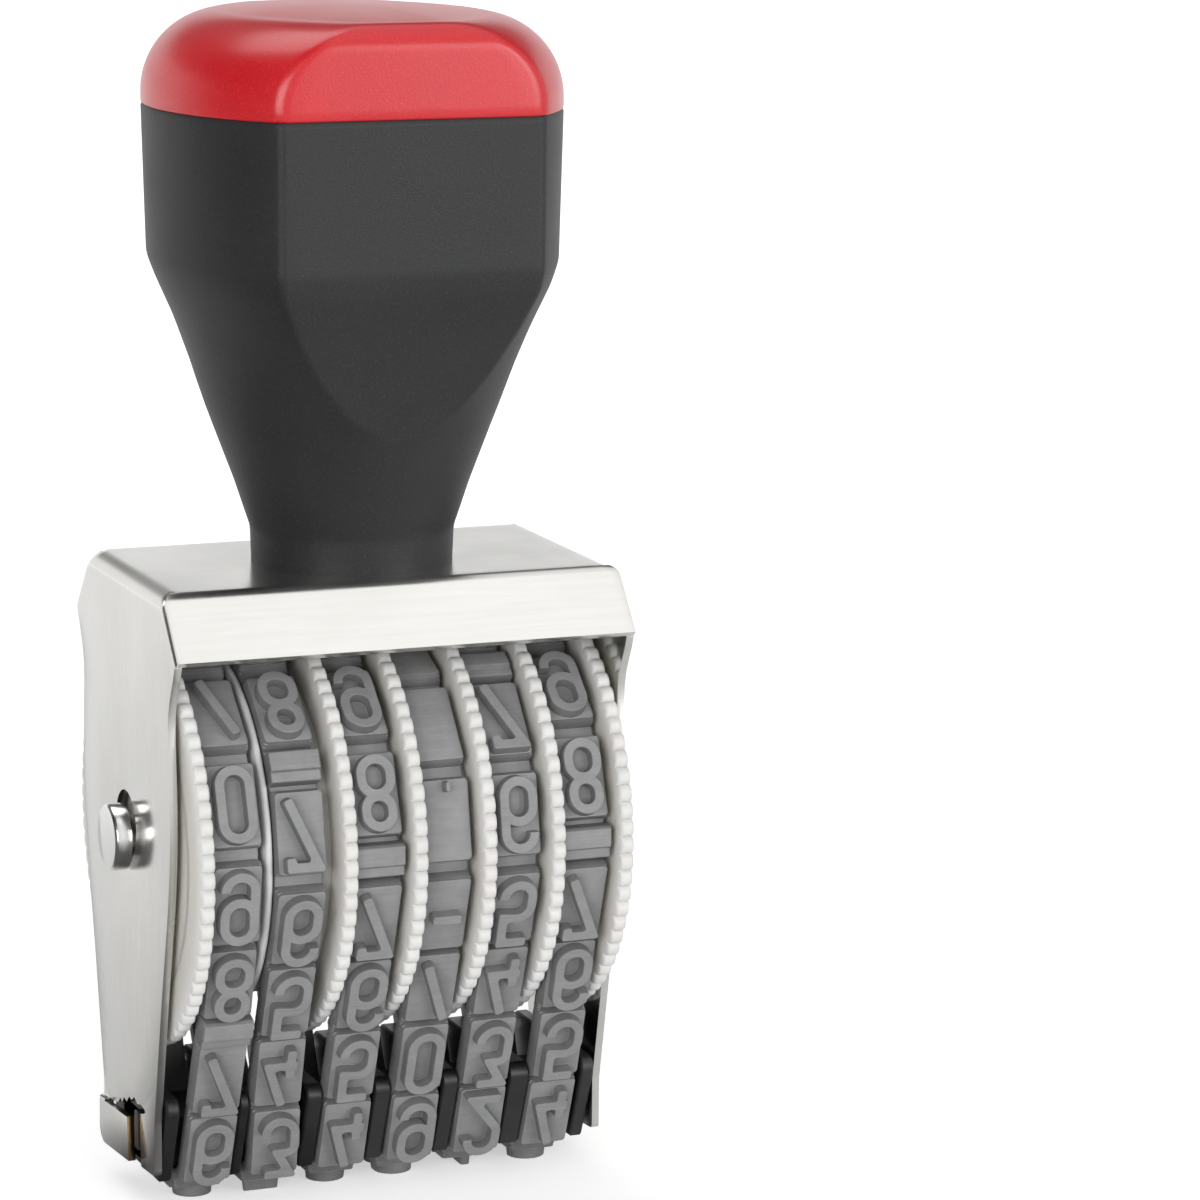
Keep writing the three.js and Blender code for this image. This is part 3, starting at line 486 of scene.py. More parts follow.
def moulded(name, dark, light, speck, roughness, grain_strength, skin_settings):
    """Spark-eroded moulded skin: fine round pits, a still finer grain, pale specks, slow changes of tone."""
    plastic = Finish(name, dark, roughness[0])
    clouds, fine = plastic.noise(55.0), plastic.noise(7000.0, 3.0)
    grain = {"Vector": plastic.stretched(), "Scale": 5200.0}
    pits = plastic.node("TexVoronoi", "Distance", grain, feature="SMOOTH_F1")
    tone = plastic.mixed(plastic.span(clouds, 0, 1), dark, light)
    specks = plastic.span(plastic.noise(3800.0, 2.0, 0.7), 0, 1, 0.56, 0.74)
    plastic.surface({"Base Color": plastic.mixed(specks, tone, speck), **skin_settings,
                     "Roughness": plastic.span(clouds, *roughness)})
    plastic.bumps((pits, grain_strength, 0.05), (fine, grain_strength * 0.7, 0.02))
    return plastic.look


def screw_metal(name, colour):
    """Plated or turned fastener metal: rings about the upright axis and cloudy tarnish."""
    metal = Finish(name, colour, 0.3, 1.0)
    clouds = metal.noise(600.0)
    dull = tuple(channel * 0.82 for channel in colour)
    metal.surface({"Base Color": metal.mixed(metal.span(clouds, 0, 1), dull, colour),
                   "Roughness": metal.span(clouds, 0.24, 0.4)})
    metal.bumps((metal.noise((80, 80, 5000), 2.0), 0.1, 0.02))
    return metal.look


SHEET_LOOK = plated_sheet()
AXLE_LOOK = polished_steel()
# Wheels: painted shade, darker and warmer, deep on the flanks by the band; the disc's deep tone is nearly its
# own colour.
WHEEL_LOOK = wheel_plastic("wheel_plastic", (0.73, 0.705, 0.65))
DISC_LOOK = wheel_plastic("disc_plastic", (0.78, 0.775, 0.78))
BAND_LOOK = band_rubber()
BRIDGE_LOOK = black_bridge()
GRIP_LOOK = moulded("grip_plastic", (0.018, 0.0183, 0.0192), (0.023, 0.0234, 0.0246), (0.038, 0.0385, 0.041),
                    (0.46, 0.54), 0.35, {"Specular IOR Level": 0.36})
CAP_LOOK = moulded("cap_plastic", (0.56, 0.007, 0.013), (0.63, 0.011, 0.018), (0.7, 0.04, 0.046),
                   (0.27, 0.34), 0.2, {"Coat Weight": 0.2, "Coat Roughness": 0.18})
ZINC_LOOK = screw_metal("zinc_steel", (0.62, 0.62, 0.6))
BRASS_LOOK = screw_metal("insert_brass", (0.72, 0.5, 0.2))


# Belt path

RISE = AXLE_Z - NOSE_Z
RUN_SPAN = math.hypot(RISE, ANVIL_FLAT)
WRAP = math.asin((BELT_DRUM - BELT_NOSE) / RUN_SPAN)
LEAN = WRAP - math.atan2(ANVIL_FLAT, RISE)
NOSE_TURN = math.pi / 2 - LEAN
NOSE_END = ANVIL_FLAT + BELT_NOSE * NOSE_TURN
RUN_LENGTH = RUN_SPAN * math.cos(WRAP)
RUN_END = NOSE_END + RUN_LENGTH
LOOP = 2 * (RUN_END + BELT_DRUM * (math.pi + 2 * LEAN) / 2)
FIGURE_PITCH = (LOOP - SPLICE_LENGTH) / len(FIGURES)


def belt_at(distance):
    """Inner face of the belt at a distance from the middle of its flat: Y, Z and the outward direction."""
    distance = np.asarray(distance, float)
    wrapped = distance - LOOP * np.round(distance / LOOP)
    side = np.where(wrapped < 0, -1.0, 1.0)
    s = np.abs(wrapped)
    nose_turn = np.clip((s - ANVIL_FLAT) / BELT_NOSE, 0, NOSE_TURN)
    up = np.clip(s - NOSE_END, 0, RUN_LENGTH)
    drum_turn = NOSE_TURN + (s - RUN_END) / BELT_DRUM
    on_drum = s > RUN_END
    y = -np.minimum(s, ANVIL_FLAT) - BELT_NOSE * np.sin(nose_turn) - up * math.cos(NOSE_TURN)
    z = NOSE_Z - BELT_NOSE * np.cos(nose_turn) + up * math.sin(NOSE_TURN)
    y = np.where(on_drum, -BELT_DRUM * np.sin(drum_turn), y)
    z = np.where(on_drum, AXLE_Z - BELT_DRUM * np.cos(drum_turn), z)
    turn = np.where(on_drum, drum_turn, nose_turn)
    return side * y, z, -side * np.sin(turn), -np.cos(turn)


BELT_RINGS = np.linspace(0, LOOP, BELT_STEPS, endpoint=False)


def figure_stop(index):
    """Distance of a figure along the belt. Those after the splice lie further on by its length."""
    return index * FIGURE_PITCH + (0 if index < BEFORE_SPLICE else SPLICE_LENGTH)


def wheel_place(index):
    """Where a wheel's rim starts, and the way along the axle from there. The first is turned round."""
    if index == 0:
        return -STACK_HALF, 1
    return STACK_HALF - (WHEELS - 1 - index) * WHEEL_PITCH, -1


def band_middle(index, z):
    """Middle of a band at a height: straight on the bridge, then eased sideways to its lie on the wheel."""
    rim, side = wheel_place(index)
    low, high, start, stop = BAND_SIDEWAYS[index]
    centre = rim + side * (RIM_WIDTH + SIDE_GAP + BAND_WIDTH / 2)
    return centre + low + (high - low) * eased(np.clip((z - start) / (stop - start), 0, 1))


def on_belt(stop, index, flat):
    """Local (across, towards the figure's head, height) to the frame, on the plane that touches the belt."""
    y, z, out_y, out_z = (float(value) for value in belt_at(stop))
    across, head, height = flat[..., 0], flat[..., 1], flat[..., 2]
    up = z + out_y * head + out_z * height
    return np.stack([band_middle(index, up) + across, y - out_z * head + out_y * height, up], -1)


# Figures. A stroke is a line of corners, as shares of width and height with a radius, and whether it closes

ROUND = 1.8
BOWL = [(0, 0, ROUND), (1, 0, ROUND)]
HOOK = [(1, .6, ROUND), (1, 0, ROUND), (0, 0, ROUND), (0, .24, 0)]
STROKES = {
    "1": [([(.1, .74, 0), (.6, 1, 0), (.6, 0, 0)], False)],
    "2": [([(0, .76, 0), (0, 1, ROUND), (1, 1, ROUND), (1, .58, 1.5), (.02, 0, 0), (1, 0, 0)], False)],
    "3": [([(.04, 1, 0), (.92, 1, 0), (.42, .6, 0), *HOOK], False)],
    "4": [([(.5, 1, 0), (0, .27, 0), (1, .27, 0)], False), ([(.76, .5, 0), (.76, 0, 0)], False)],
    "5": [([(.95, 1, 0), (.06, 1, 0), (.06, .56, 0), *HOOK], False)],
    "6": [([(1, .77, 0), (1, 1, ROUND), (0, 1, ROUND), (0, .3, 0)], False),
          ([*BOWL, (1, .6, ROUND), (0, .6, ROUND)], True)],
    "7": [([(.03, .85, 0), (.03, 1, 0), (.97, 1, 0), (0, 0, 0)], False)],
    "8": [([*BOWL, (1, .52, ROUND), (0, .52, ROUND)], True),
          ([(.05, .55, ROUND), (.95, .55, ROUND), (.95, 1, ROUND), (.05, 1, ROUND)], True)],
    "9": [([(0, .23, 0), *BOWL, (1, .7, 0)], False),
          ([(0, .4, ROUND), (1, .4, ROUND), (1, 1, ROUND), (0, 1, ROUND)], True)],
    "0": [([*BOWL, (1, 1, ROUND), (0, 1, ROUND)], True)],
    "/": [([(.1, 0, 0), (.9, 1, 0)], False)],
    "-": [([(0, .5, 0), (1, .5, 0)], False)],
    ".": [([(.43, 0, 0), (.57, 0, 0)], False)],
}


def centre_line(corners, loop):
    """Stroke's middle in millimetres: shares of the width and height, its corners turned by arcs that fit."""
    wide, tall = GLYPH_WIDTH - STROKE, GLYPH_HEIGHT - STROKE
    line = [((u - .5) * wide, (v - .5) * tall, radius) for u, v, radius in corners]
    fitted = []
    for i, (x, y, radius) in enumerate(line):
        room = radius
        for k in (i - 1, (i + 1) % len(line)):
            half = 1 if not loop and k in (0, len(line) - 1) else .5
            room = min(room, math.dist((x, y), line[k][:2]) * half * .998)
        fitted.append((x, y, room))
    return rounded(fitted, 10)


def winding(points, outline):
    """Times that an outline goes round each point: crossings of a ray, counted up or down."""
    x, y = points[:, 0][:, None], points[:, 1][:, None]
    ax, ay = outline.T
    bx, by = np.roll(outline, -1, 0).T
    right = x < (bx - ax) * (y - ay) / np.where(by == ay, 1e-12, by - ay) + ax
    return (((ay > y) != (by > y)) & right).astype(int) @ np.where(by > ay, 1, -1)


def cut_flat(loops, lines=()):
    """Plane triangles between closed outlines and lines: points, triangles and each triangle's middle."""
    points, sides = [], []
    for loop in (*loops, *lines):
        base, count = len(points), len(loop)
        points.extend(Vector(point) for point in loop)
        sides.extend((base + k, base + (k + 1) % count) for k in range(count))
    made, _, faces, *_ = delaunay_2d_cdt(points, sides, [], 0, 1e-6)
    flat, tris = np.array([tuple(point) for point in made]), np.array(faces)
    a, b, c = flat[tris[:, 0]], flat[tris[:, 1]], flat[tris[:, 2]]
    area = (b[:, 0] - a[:, 0]) * (c[:, 1] - a[:, 1]) - (b[:, 1] - a[:, 1]) * (c[:, 0] - a[:, 0])
    tris = np.where(area[:, None] < 0, tris[:, ::-1], tris)[np.abs(area) > 1e-9]
    return flat, tris, flat[tris].mean(1)


def rims(tris):
    """Closed outlines around a set of triangles: the sides that only one triangle has, one after another."""
    sides = np.vstack([tris[:, [0, 1]], tris[:, [1, 2]], tris[:, [2, 0]]]).tolist()
    have = {tuple(side) for side in sides}
    follows = {a: b for a, b in have if (b, a) not in have}
    found = []
    while follows:
        start, here = next(iter(follows.items()))
        del follows[start]
        loop = [start]
        while here != start:
            loop.append(here)
            here = follows.pop(here)
        found.append(loop)
    return found


def softened(loop, radius):
    """Outline whose sharp corners become arcs, as far as the sides beside them allow."""
    back, ahead = loop - np.roll(loop, 1, 0), np.roll(loop, -1, 0) - loop
    long_back, long_ahead = np.linalg.norm(back, axis=1), np.linalg.norm(ahead, axis=1)
    turn = np.arccos(np.clip(np.sum(back * ahead, 1) / long_back / long_ahead, -1, 1))
    room = .45 * np.minimum(long_back, long_ahead) / np.tan(np.maximum(turn, .01) / 2)
    size = np.where(turn > .5, np.minimum(radius, room), 0)
    return rounded(np.column_stack([loop, size]), 4)


def figure_face(strokes):
    """Outlines of a figure's face: a point belongs to it where any stroke's outline goes round it."""
    loops, areas = [], []
    for corners, loop in strokes:
        line = centre_line(corners, loop)
        left, right = beside(line, STROKE / 2, loop), beside(line, -STROKE / 2, loop)
        areas.append([left, right[::-1]] if loop else [np.vstack([left, right[::-1]])])
        loops += areas[-1]
    flat, tris, middle = cut_flat(loops)
    keep = np.zeros(len(tris), bool)
    for area in areas:
        keep |= sum(winding(middle, outline) for outline in area) != 0
    return [softened(flat[rim], FACE_ROUND) for rim in rims(tris[keep])]


def figure_body(strokes):
    """One figure as a shell: its face inside a rolled edge, drafted walls and a flat bottom."""
    faces = figure_face(strokes)
    levels = ((-FACE_ROLL, BAND_HEIGHT), (0, BAND_HEIGHT - FACE_ROLL),
              (FIGURE_DRAFT, BELT + PLINTH - FIGURE_ROOT))
    rings = [[beside(face, -out) for face in faces] for out, _ in levels]
    top, tris, middle = cut_flat(faces)
    tris = tris[sum(winding(middle, face) for face in faces) != 0]
    count = len(top)
    points = np.vstack([np.column_stack([np.vstack(ring), np.full(count, high)])
                        for ring, (_, high) in zip(rings, levels)])
    blocks, base = [tris, tris[:, ::-1] + 2 * count], 0
    for ring in rings[0]:
        k = base + np.arange(len(ring))
        after = base + (np.arange(len(ring)) + 1) % len(ring)
        for level in (0, count):
            blocks.append(np.stack([k + level, k + level + count, after + level + count, after + level], -1))
        base += len(ring)
    return points, blocks


FIGURE_BODIES = {figure: figure_body(strokes) for figure, strokes in STROKES.items()}


# Number bands

def tile_rings(length, height):
    """Block of a tile up its height: straight foot, two narrow steps, and a chamfered top. A level is how
    much smaller it is across, its corner radius, and its height from the belt's inner face."""
    levels = ((0, .35, BELT - .95), (0, .35, height - 1.0), (.12, .4, height - .9), (.12, .4, height - .5),
              (.26, .45, height - .4), (.28, .45, height - .12), (.36, .45, height - .03), (.46, .45, height))
    rings = []
    for step, radius, high in levels:
        x, y = (2 * BAND_HALF - step) / 2, (length - step) / 2
        ring = keystone((x, -y, radius), (x, y, radius), 5)
        rings.append(np.insert(ring, 2, high, axis=1))
    return np.stack(rings)


def splice_block(index, stop):
    """Block over the belt's joint: a raised bar and a lower ledge beside it, carried across the band."""
    half, top = SPLICE_LENGTH / 2 + .25, BELT + SPLICE_HEIGHT
    side = rounded([(-half, .4, 0), (half, .4, 0), (half, top - .5, .2), (.75, top - .4, .1), (.55, top, .25),
                    (-half + .3, top, .25), (-half, top - .4, .2)], 4)
    return skin(on_belt(stop, index, slab(side, -BAND_HALF, BAND_HALF, .1)))


def belt_strip(index):
    """Belt cross-section carried round its path: square with small chamfers, its sides in fine ribs."""
    y, z, out_y, out_z = (part[:, None] for part in belt_at(BELT_RINGS))
    half, edge = BAND_HALF - RIB_DEPTH, BELT_EDGE
    ribs = RIB_DEPTH * np.maximum(0, np.cos(BELT_RINGS * 2 * np.pi / (LOOP / BELT_RIBS)))[:, None]
    across = np.array([-half + edge, half - edge, half, half, half - edge, -half + edge, -half, -half])
    height = np.array([0, 0, edge, BELT - edge, BELT, BELT, BELT - edge, edge])
    bulge = np.array([0, 0, 1, 1, 0, 0, -1, -1])
    x = band_middle(index, z) + across + bulge * (ribs - RIB_DEPTH)
    return torus(np.stack([x, y + out_y * height, z + out_z * height], -1))


def mark_walls(thing):
    """Face attribute: one on side walls, nought on faces that look straight out from the belt beside them."""
    mesh = thing.data
    normals, middles = np.empty((2, len(mesh.polygons) * 3))
    mesh.polygons.foreach_get("normal", normals)
    mesh.polygons.foreach_get("center", middles)
    normals, middles = normals.reshape(-1, 3), middles.reshape(-1, 3) / MM
    y, z, out_y, out_z = belt_at(BELT_RINGS)
    mid_y, mid_z = y + out_y * MID_BAND, z + out_z * MID_BAND
    near = np.argmin((middles[:, 1:2] - mid_y) ** 2 + (middles[:, 2:] - mid_z) ** 2, 1)
    facing = np.abs(normals[:, 1] * out_y[near] + normals[:, 2] * out_z[near])
    # This share masks the rubber's painted shade on the side walls.
    wall = mesh.attributes.new("side_wall", "FLOAT", "FACE")
    share = np.clip((WALL_FROM - facing) / (WALL_FROM - WALL_FULL), 0, 1)
    wall.data.foreach_set("value", share.astype(np.float32))


def number_band(index):
    """Belt, fifteen tiles with their figures, and the splice block."""
    shift = figure_stop(FIGURES.index(PRINTED[index]))
    shells = [belt_strip(index)]
    for k, figure in enumerate(FIGURES):
        stop = figure_stop(k) - shift
        shells.append(skin(on_belt(stop, index, tile_rings(FIGURE_PITCH - TILE_GAP, BELT + PLINTH))))
        if figure in FIGURE_BODIES:
            points, blocks = FIGURE_BODIES[figure]
            shells.append(closed(on_belt(stop, index, points), *blocks))
    shells.append(splice_block(index, (BEFORE_SPLICE - .5) * FIGURE_PITCH + SPLICE_LENGTH / 2 - shift))
    number = index + 1
    band = piece(f"number_band_{number}", shells, BAND_LOOK, "stamp_body", [f"band_{number}"])
    mark_walls(band)


# Wheels and axle

def setting_wheel(index):
    """Rim whose radius falls by the tooth depth between lobes, and a drum with web and hub behind it.
    A lobe's height is a power of the cosine of its own half turn, so valleys are narrow. The rim's profile is
    one flank, as radius, place along the axle and share of the tooth depth, and its mirror image."""
    rim_x, side = wheel_place(index)
    turn = circle(TEETH * TOOTH_STEPS)[:, None]
    lobe = np.abs(np.cos(turn * TEETH / 2)) ** LOBE_POWER
    root, tip = TIP_RADIUS - TOOTH_DEPTH, TIP_RADIUS
    flank = np.array([
        [root - 4.9, 0, 0], [root - 4.6, 0, 0], [root - 1.2, 0, 0], [root - .45, 0, 0], [root - .15, .04, .1],
        [tip - .42, .06, .7], [tip - .17, .15, .9], [tip - .04, .32, .98], [tip, .55, 1]])
    profile = np.vstack([flank, flank[::-1] * [1, -1, 1] + [0, RIM_WIDTH, 0]])
    radius = profile[:, 0] - TOOTH_DEPTH * profile[:, 2] * (1 - lobe)
    rim = torus(grid_of(rim_x + side * profile[:, 1], radius * np.cos(turn), AXLE_Z + radius * np.sin(turn)))
    bore, inside, ease = AXLE_RADIUS + RUN_GAP, DRUM_RADIUS - DRUM_WALL, DRUM_EASE
    drum = np.array([
        [bore + ease, 0], [DRUM_RADIUS - ease, 0], [DRUM_RADIUS, ease], [DRUM_RADIUS, WHEEL_WIDTH - ease],
        [DRUM_RADIUS - ease, WHEEL_WIDTH], [inside + ease, WHEEL_WIDTH], [inside, WHEEL_WIDTH - ease],
        [inside, WEB + .5], [inside - .5, WEB], [HUB_RADIUS + .5, WEB], [HUB_RADIUS, WEB + .5],
        [HUB_RADIUS, WHEEL_WIDTH - ease], [HUB_RADIUS - ease, WHEEL_WIDTH], [bore + ease, WHEEL_WIDTH],
        [bore, WHEEL_WIDTH - ease], [bore, ease]])
    drum[:, 1] = rim_x + side * drum[:, 1]
    number = index + 1
    piece(f"toothed_wheel_{number}", [rim, turned(drum, TURN_STEPS)], WHEEL_LOOK, f"wheel_{number}",
          [f"setting_wheel_{number}"])


def separator():
    """Thin disc with a boss on both sides, its rim rounded over half its thickness."""
    centre = -STACK_HALF + WHEEL_WIDTH + DISC_SPACE / 2
    bore, boss, boss_half = AXLE_RADIUS + RUN_GAP, BOSS_RADIUS, DISC_SPACE / 2 - RUN_GAP
    turn = np.linspace(-np.pi / 2, np.pi / 2, 9)
    rim = [DISC_RADIUS - DISC_HALF, DISC_SHIFT] + DISC_HALF * np.stack([np.cos(turn), np.sin(turn)], -1)
    profile = np.vstack([
        [[bore, -boss_half], [boss, -boss_half], [boss + BOSS_EASE, DISC_SHIFT - DISC_HALF]], rim,
        [[boss + BOSS_EASE, DISC_SHIFT + DISC_HALF], [boss, boss_half], [bore, boss_half]]])
    disc = turned(profile + [0, centre], DISC_STEPS)
    piece("thin_disc", [disc], DISC_LOOK, "separator", ["separator_disc"])


def axle_pin():
    """Turned pin: flat faces, chamfered heads and a groove at each cheek."""
    end, outer, inner = CHEEK_OUT + AXLE_STANDOUT, CHEEK_OUT + SEAT_GAP, CHEEK_IN - SEAT_GAP
    groove = HOLE_RADIUS - (HOLE_Z - AXLE_Z) - SEAT_GAP
    half = np.array([*((AXLE_RADIUS - inwards, end - back) for inwards, back in PIN_CHAMFER),
                     (AXLE_RADIUS, outer + .1), (AXLE_RADIUS - .1, outer),
                     (groove, outer), (groove, inner), (AXLE_RADIUS, inner)])
    pin = skin(swept(np.vstack([half, half[::-1] * [1, -1]]), TURN_STEPS))
    piece("axle_pin", [pin], AXLE_LOOK, "stamp_body", ["axle"])


# Frame

def lip_line(z):
    """Half depth at which the cheek's edge clears the lip, at a height."""
    depth = SHEET + SEAT_GAP
    return (PLATE_HALF - depth * math.sin(LIP_ANGLE)
            + (PLATE_Z - depth * math.cos(LIP_ANGLE) - z) / math.tan(LIP_ANGLE))


def cheek_side():
    """Front edge of a cheek as (half depth, height) from the foot up to the fold of the top plate."""
    rise = FLARE_Z - FOOT_FRONT_Z
    corners = [[CHEEK_HALF * out, FOOT_FRONT_Z + rise * up] for out, up in CHEEK_EDGE]
    curve = smooth_curve(corners, CURVE_STEPS)
    bend = PLATE_Z - CORNER
    tip = (lip_line(FLARE_Z), FLARE_Z, FLARE_ROUND)
    flare = rounded([(*curve[-1], 0), tip, (lip_line(bend), bend, 0)], CURVE_STEPS)
    return np.vstack([curve[:-1], flare])


def cheek_face(top_points):
    """Flat pattern of a cheek: outline, axle hole and the torn foot slot, cut into triangles."""
    right = cheek_side()[:-1]
    foot = CHEEK_HALF * CHEEK_EDGE[0][0]
    bottom = rounded([
        (-foot, FOOT_FRONT_Z + FOOT_TALL, 0), (-foot, FOOT_FRONT_Z, FOOT_FRONT_ROUND),
        (foot, FOOT_REAR_Z, FOOT_REAR_ROUND), (foot, FOOT_REAR_Z + FOOT_TALL, 0)], 6)[1:-1]
    outline = np.vstack([bottom, right, top_points[::-1], right[::-1] * [-1, 1]])
    turn = circle(72)
    hole = np.stack([HOLE_RADIUS * np.cos(turn), HOLE_Z + HOLE_RADIUS * np.sin(turn)], -1)
    slot = np.array(FOOT_CUT)
    folds = [[(FOOT_CUT[3][0], z), (PANEL_REAR, z)]
             for z in np.linspace(PANEL_TOP_Z, PANEL_TOP_Z + RELIEF_CUT, 5)]
    flat, tris, middle = cut_flat([outline, hole, slot], folds)
    keep = winding(middle, outline) != 0
    for loop in (hole, slot):
        keep &= winding(middle, loop) == 0
    return flat, tris[keep]


def foot_press(flat):
    """How far a cheek's points are pressed out: fully below the torn slit, eased over a fold behind it."""
    (front, front_z), (rear, rear_z) = FOOT_CUT[2:4]
    line = rear_z + (front_z - rear_z) * np.clip((rear - flat[:, 0]) / (rear - front), 0, 1)
    press = np.clip((line + RELIEF_CUT - flat[:, 1]) / RELIEF_CUT, 0, 1)
    press = np.where(flat[:, 0] < rear - .1, flat[:, 1] < line + .1, press)
    return FOOT_PRESS * eased(press) * (flat[:, 0] > SLOT_Y)


def sheet_skins():
    """Outer skin of the folded sheet: the plate, both lips with rounded ends, and the bends and the cheeks.
    The rear lip's ends stop short, just past the plate's flat."""
    skins = []

    def flat_skin(*parts):
        """Open grid of points as one more skin."""
        grid = grid_of(*parts)
        skins.append((grid.reshape(-1, 3), [cells(*grid.shape[:2], cols_meet=False)]))

    flat_skin((FLAT_X * SHARES_X)[:, None], FLAT_Y * SHARES_Y, PLATE_Z)
    turn, straight = np.linspace(0, LIP_ANGLE, FOLD_STEPS), np.linspace(0, 1, FOLD_STEPS)[1:]
    fold_y, fold_z = FLAT_Y + FOLD * np.sin(turn), PLATE_Z - FOLD + FOLD * np.cos(turn)
    lip_y = np.concatenate([fold_y, fold_y[-1] + (PLATE_HALF + LIP_REACH - fold_y[-1]) * straight])
    lip_z = np.concatenate([fold_z, fold_z[-1] + (PLATE_Z - LIP_DROP - fold_z[-1]) * straight])
    drop = np.clip(PLATE_Z - lip_z, 0, LIP_CORNER)
    lip_x = LIP_HALF - LIP_CORNER + np.sqrt(LIP_CORNER ** 2 - (LIP_CORNER - drop) ** 2)
    lip_x[0] = FLAT_X
    for side, half in ((-1, lip_x), (1, np.minimum(lip_x, FLAT_X + REAR_LIP_PAST))):
        flat_skin(half[:, None] * SHARES_X, side * lip_y[:, None], lip_z[:, None])
    turn = np.linspace(0, np.pi / 2, CORNER_STEPS)
    bend_x, bend_z = FLAT_X + CORNER * np.sin(turn), PLATE_Z - CORNER + CORNER * np.cos(turn)
    bend_half = np.maximum(FLAT_Y, [lip_line(height) for height in bend_z])
    bend_half[0] = FLAT_Y
    top = np.stack([bend_half[-1] * SHARES_Y, np.full_like(SHARES_Y, bend_z[-1])], -1)
    flat, tris = cheek_face(top)
    for side in (-1, 1):
        flat_skin(side * bend_x[:, None], bend_half[:, None] * SHARES_Y, bend_z[:, None])
        skins.append((np.column_stack([side * (CHEEK_OUT + foot_press(flat)), flat]), [tris]))
    return skins


def sheet_frame():
    """Folded sheet: its outer skin, joined along the folds and made as thick as the sheet inwards."""
    mesh = joined("sheet_frame", sheet_skins())
    work = bmesh.new()
    work.from_mesh(mesh)
    bmesh.ops.remove_doubles(work, verts=work.verts, dist=WELD * MM)
    bmesh.ops.delete(work, geom=[vert for vert in work.verts if not vert.link_faces], context="VERTS")
    bmesh.ops.recalc_face_normals(work, faces=work.faces)
    highest = max(work.faces, key=lambda face: face.calc_center_median().z)
    if highest.normal.z < 0:
        bmesh.ops.reverse_faces(work, faces=work.faces)
    work.to_mesh(mesh)
    work.free()
    thing = place("sheet_frame", mesh, SHEET_LOOK, "stamp_body", ["frame"])
    wall = thing.modifiers.new("wall", "SOLIDIFY")
    wall.thickness, wall.offset, wall.use_even_offset = SHEET * MM, -1, True
    rim = thing.modifiers.new("rim", "BEVEL")
    rim.width, rim.segments = RIM_BEVEL * MM, 3
    rim.limit_method, rim.angle_limit = "ANGLE", math.radians(50)


# Bridge

def bridge_body():
    """Anvil bar with rounded noses, wedge-shaped fins between the bands, and a lug in each foot slot."""
    end, low, wide = CHEEK_IN - SEAT_GAP, NOSE_Z - NOSE, ANVIL_FLAT + NOSE
    bar = keystone((wide, low, NOSE), (wide, low + ANVIL_HEIGHT, ANVIL_ROUND), 8)
    fin = keystone(FIN_FOOT, FIN_TOP, 8)
    thick = RIM_WIDTH + 2 * SIDE_GAP - 2 * RUN_GAP
    bands = np.array([[band_middle(i, z) for z in (5, 9, FIN_TOP[1])] for i in range(WHEELS)])
    half_gap = BAND_HALF + FIN_PLAY
    between = zip(bands[:-1].max(1) + half_gap, bands[1:].min(1) - half_gap)
    fins = [slab(fin, start, stop, .2) for start, stop in ((-end, thick - end), (end - thick, end), *between)]
    half = SLOT_WIDTH / 2 - SEAT_GAP
    lug = keystone((half, LUG_LOW, LUG_ROUND), (half, LUG_HIGH, LUG_ROUND), 4, SLOT_Y)
    lugs = [slab(lug, *sorted((side * (end - thick / 2), side * CHEEK_OUT)), .12) for side in (-1, 1)]
    shells = [skin(rings) for rings in (slab(bar, -end, end, .12), *fins, *lugs)]
    piece("band_bridge", shells, BRIDGE_LOOK, "stamp_body", ["bridge"])


# Handle

def grip_ring(z, wide, deep, flat, ease):
    """Section of the grip: side arcs through the side point and the flat's end, cut by planes front and rear,
    with each meeting line eased by a quadratic curve. All but the ease are arrays over the heights."""
    z, wide, deep, flat = (value[:, None] for value in (z, wide, deep, flat))
    centre = (wide ** 2 - flat ** 2 - deep ** 2) / (2 * (wide - flat))
    radius = wide - centre
    reach = np.arctan2(deep, flat - centre)
    cut = np.minimum(ease, flat * .6)
    turn = (reach - cut / radius) * np.linspace(0, 1, ARC_STEPS)
    arc = np.stack([centre + radius * np.cos(turn), radius * np.sin(turn)], -1)
    begin, corner = arc[:, -1:], np.stack([flat, deep], -1)
    finish_at = np.stack([flat - cut, deep], -1)
    t = np.linspace(0, 1, FLAT_STEPS)[1:-1, None]
    bend = (1 - t) ** 2 * begin + 2 * t * (1 - t) * corner + t ** 2 * finish_at
    along = (flat - cut) * np.linspace(1, 0, FLAT_STEPS)
    front = np.stack(np.broadcast_arrays(along, deep), -1)
    quarter = np.concatenate([arc, bend, front], 1)
    upper = np.concatenate([quarter, quarter[:, ::-1][:, 1:] * [-1, 1]], 1)
    ring = np.concatenate([upper, upper[:, ::-1][:, 1:-1] * [1, -1]], 1)
    return np.concatenate([ring, np.broadcast_to(z[..., None], (*ring.shape[:2], 1))], -1)


def averaged(height, column, spread):
    """A table column read at each height and averaged over a short stretch with a bell-shaped weight."""
    fine, reach = np.linspace(-.1, 1.1, 2401), 60
    value = np.interp(fine, GRIP[:, 0], GRIP[:, column])
    weight = np.exp(-.5 * (np.arange(-reach, reach + 1) * (fine[1] - fine[0]) / spread) ** 2)
    value = np.convolve(np.pad(value, reach, mode="edge"), weight / weight.sum(), "valid")
    return np.interp(height, fine, value)


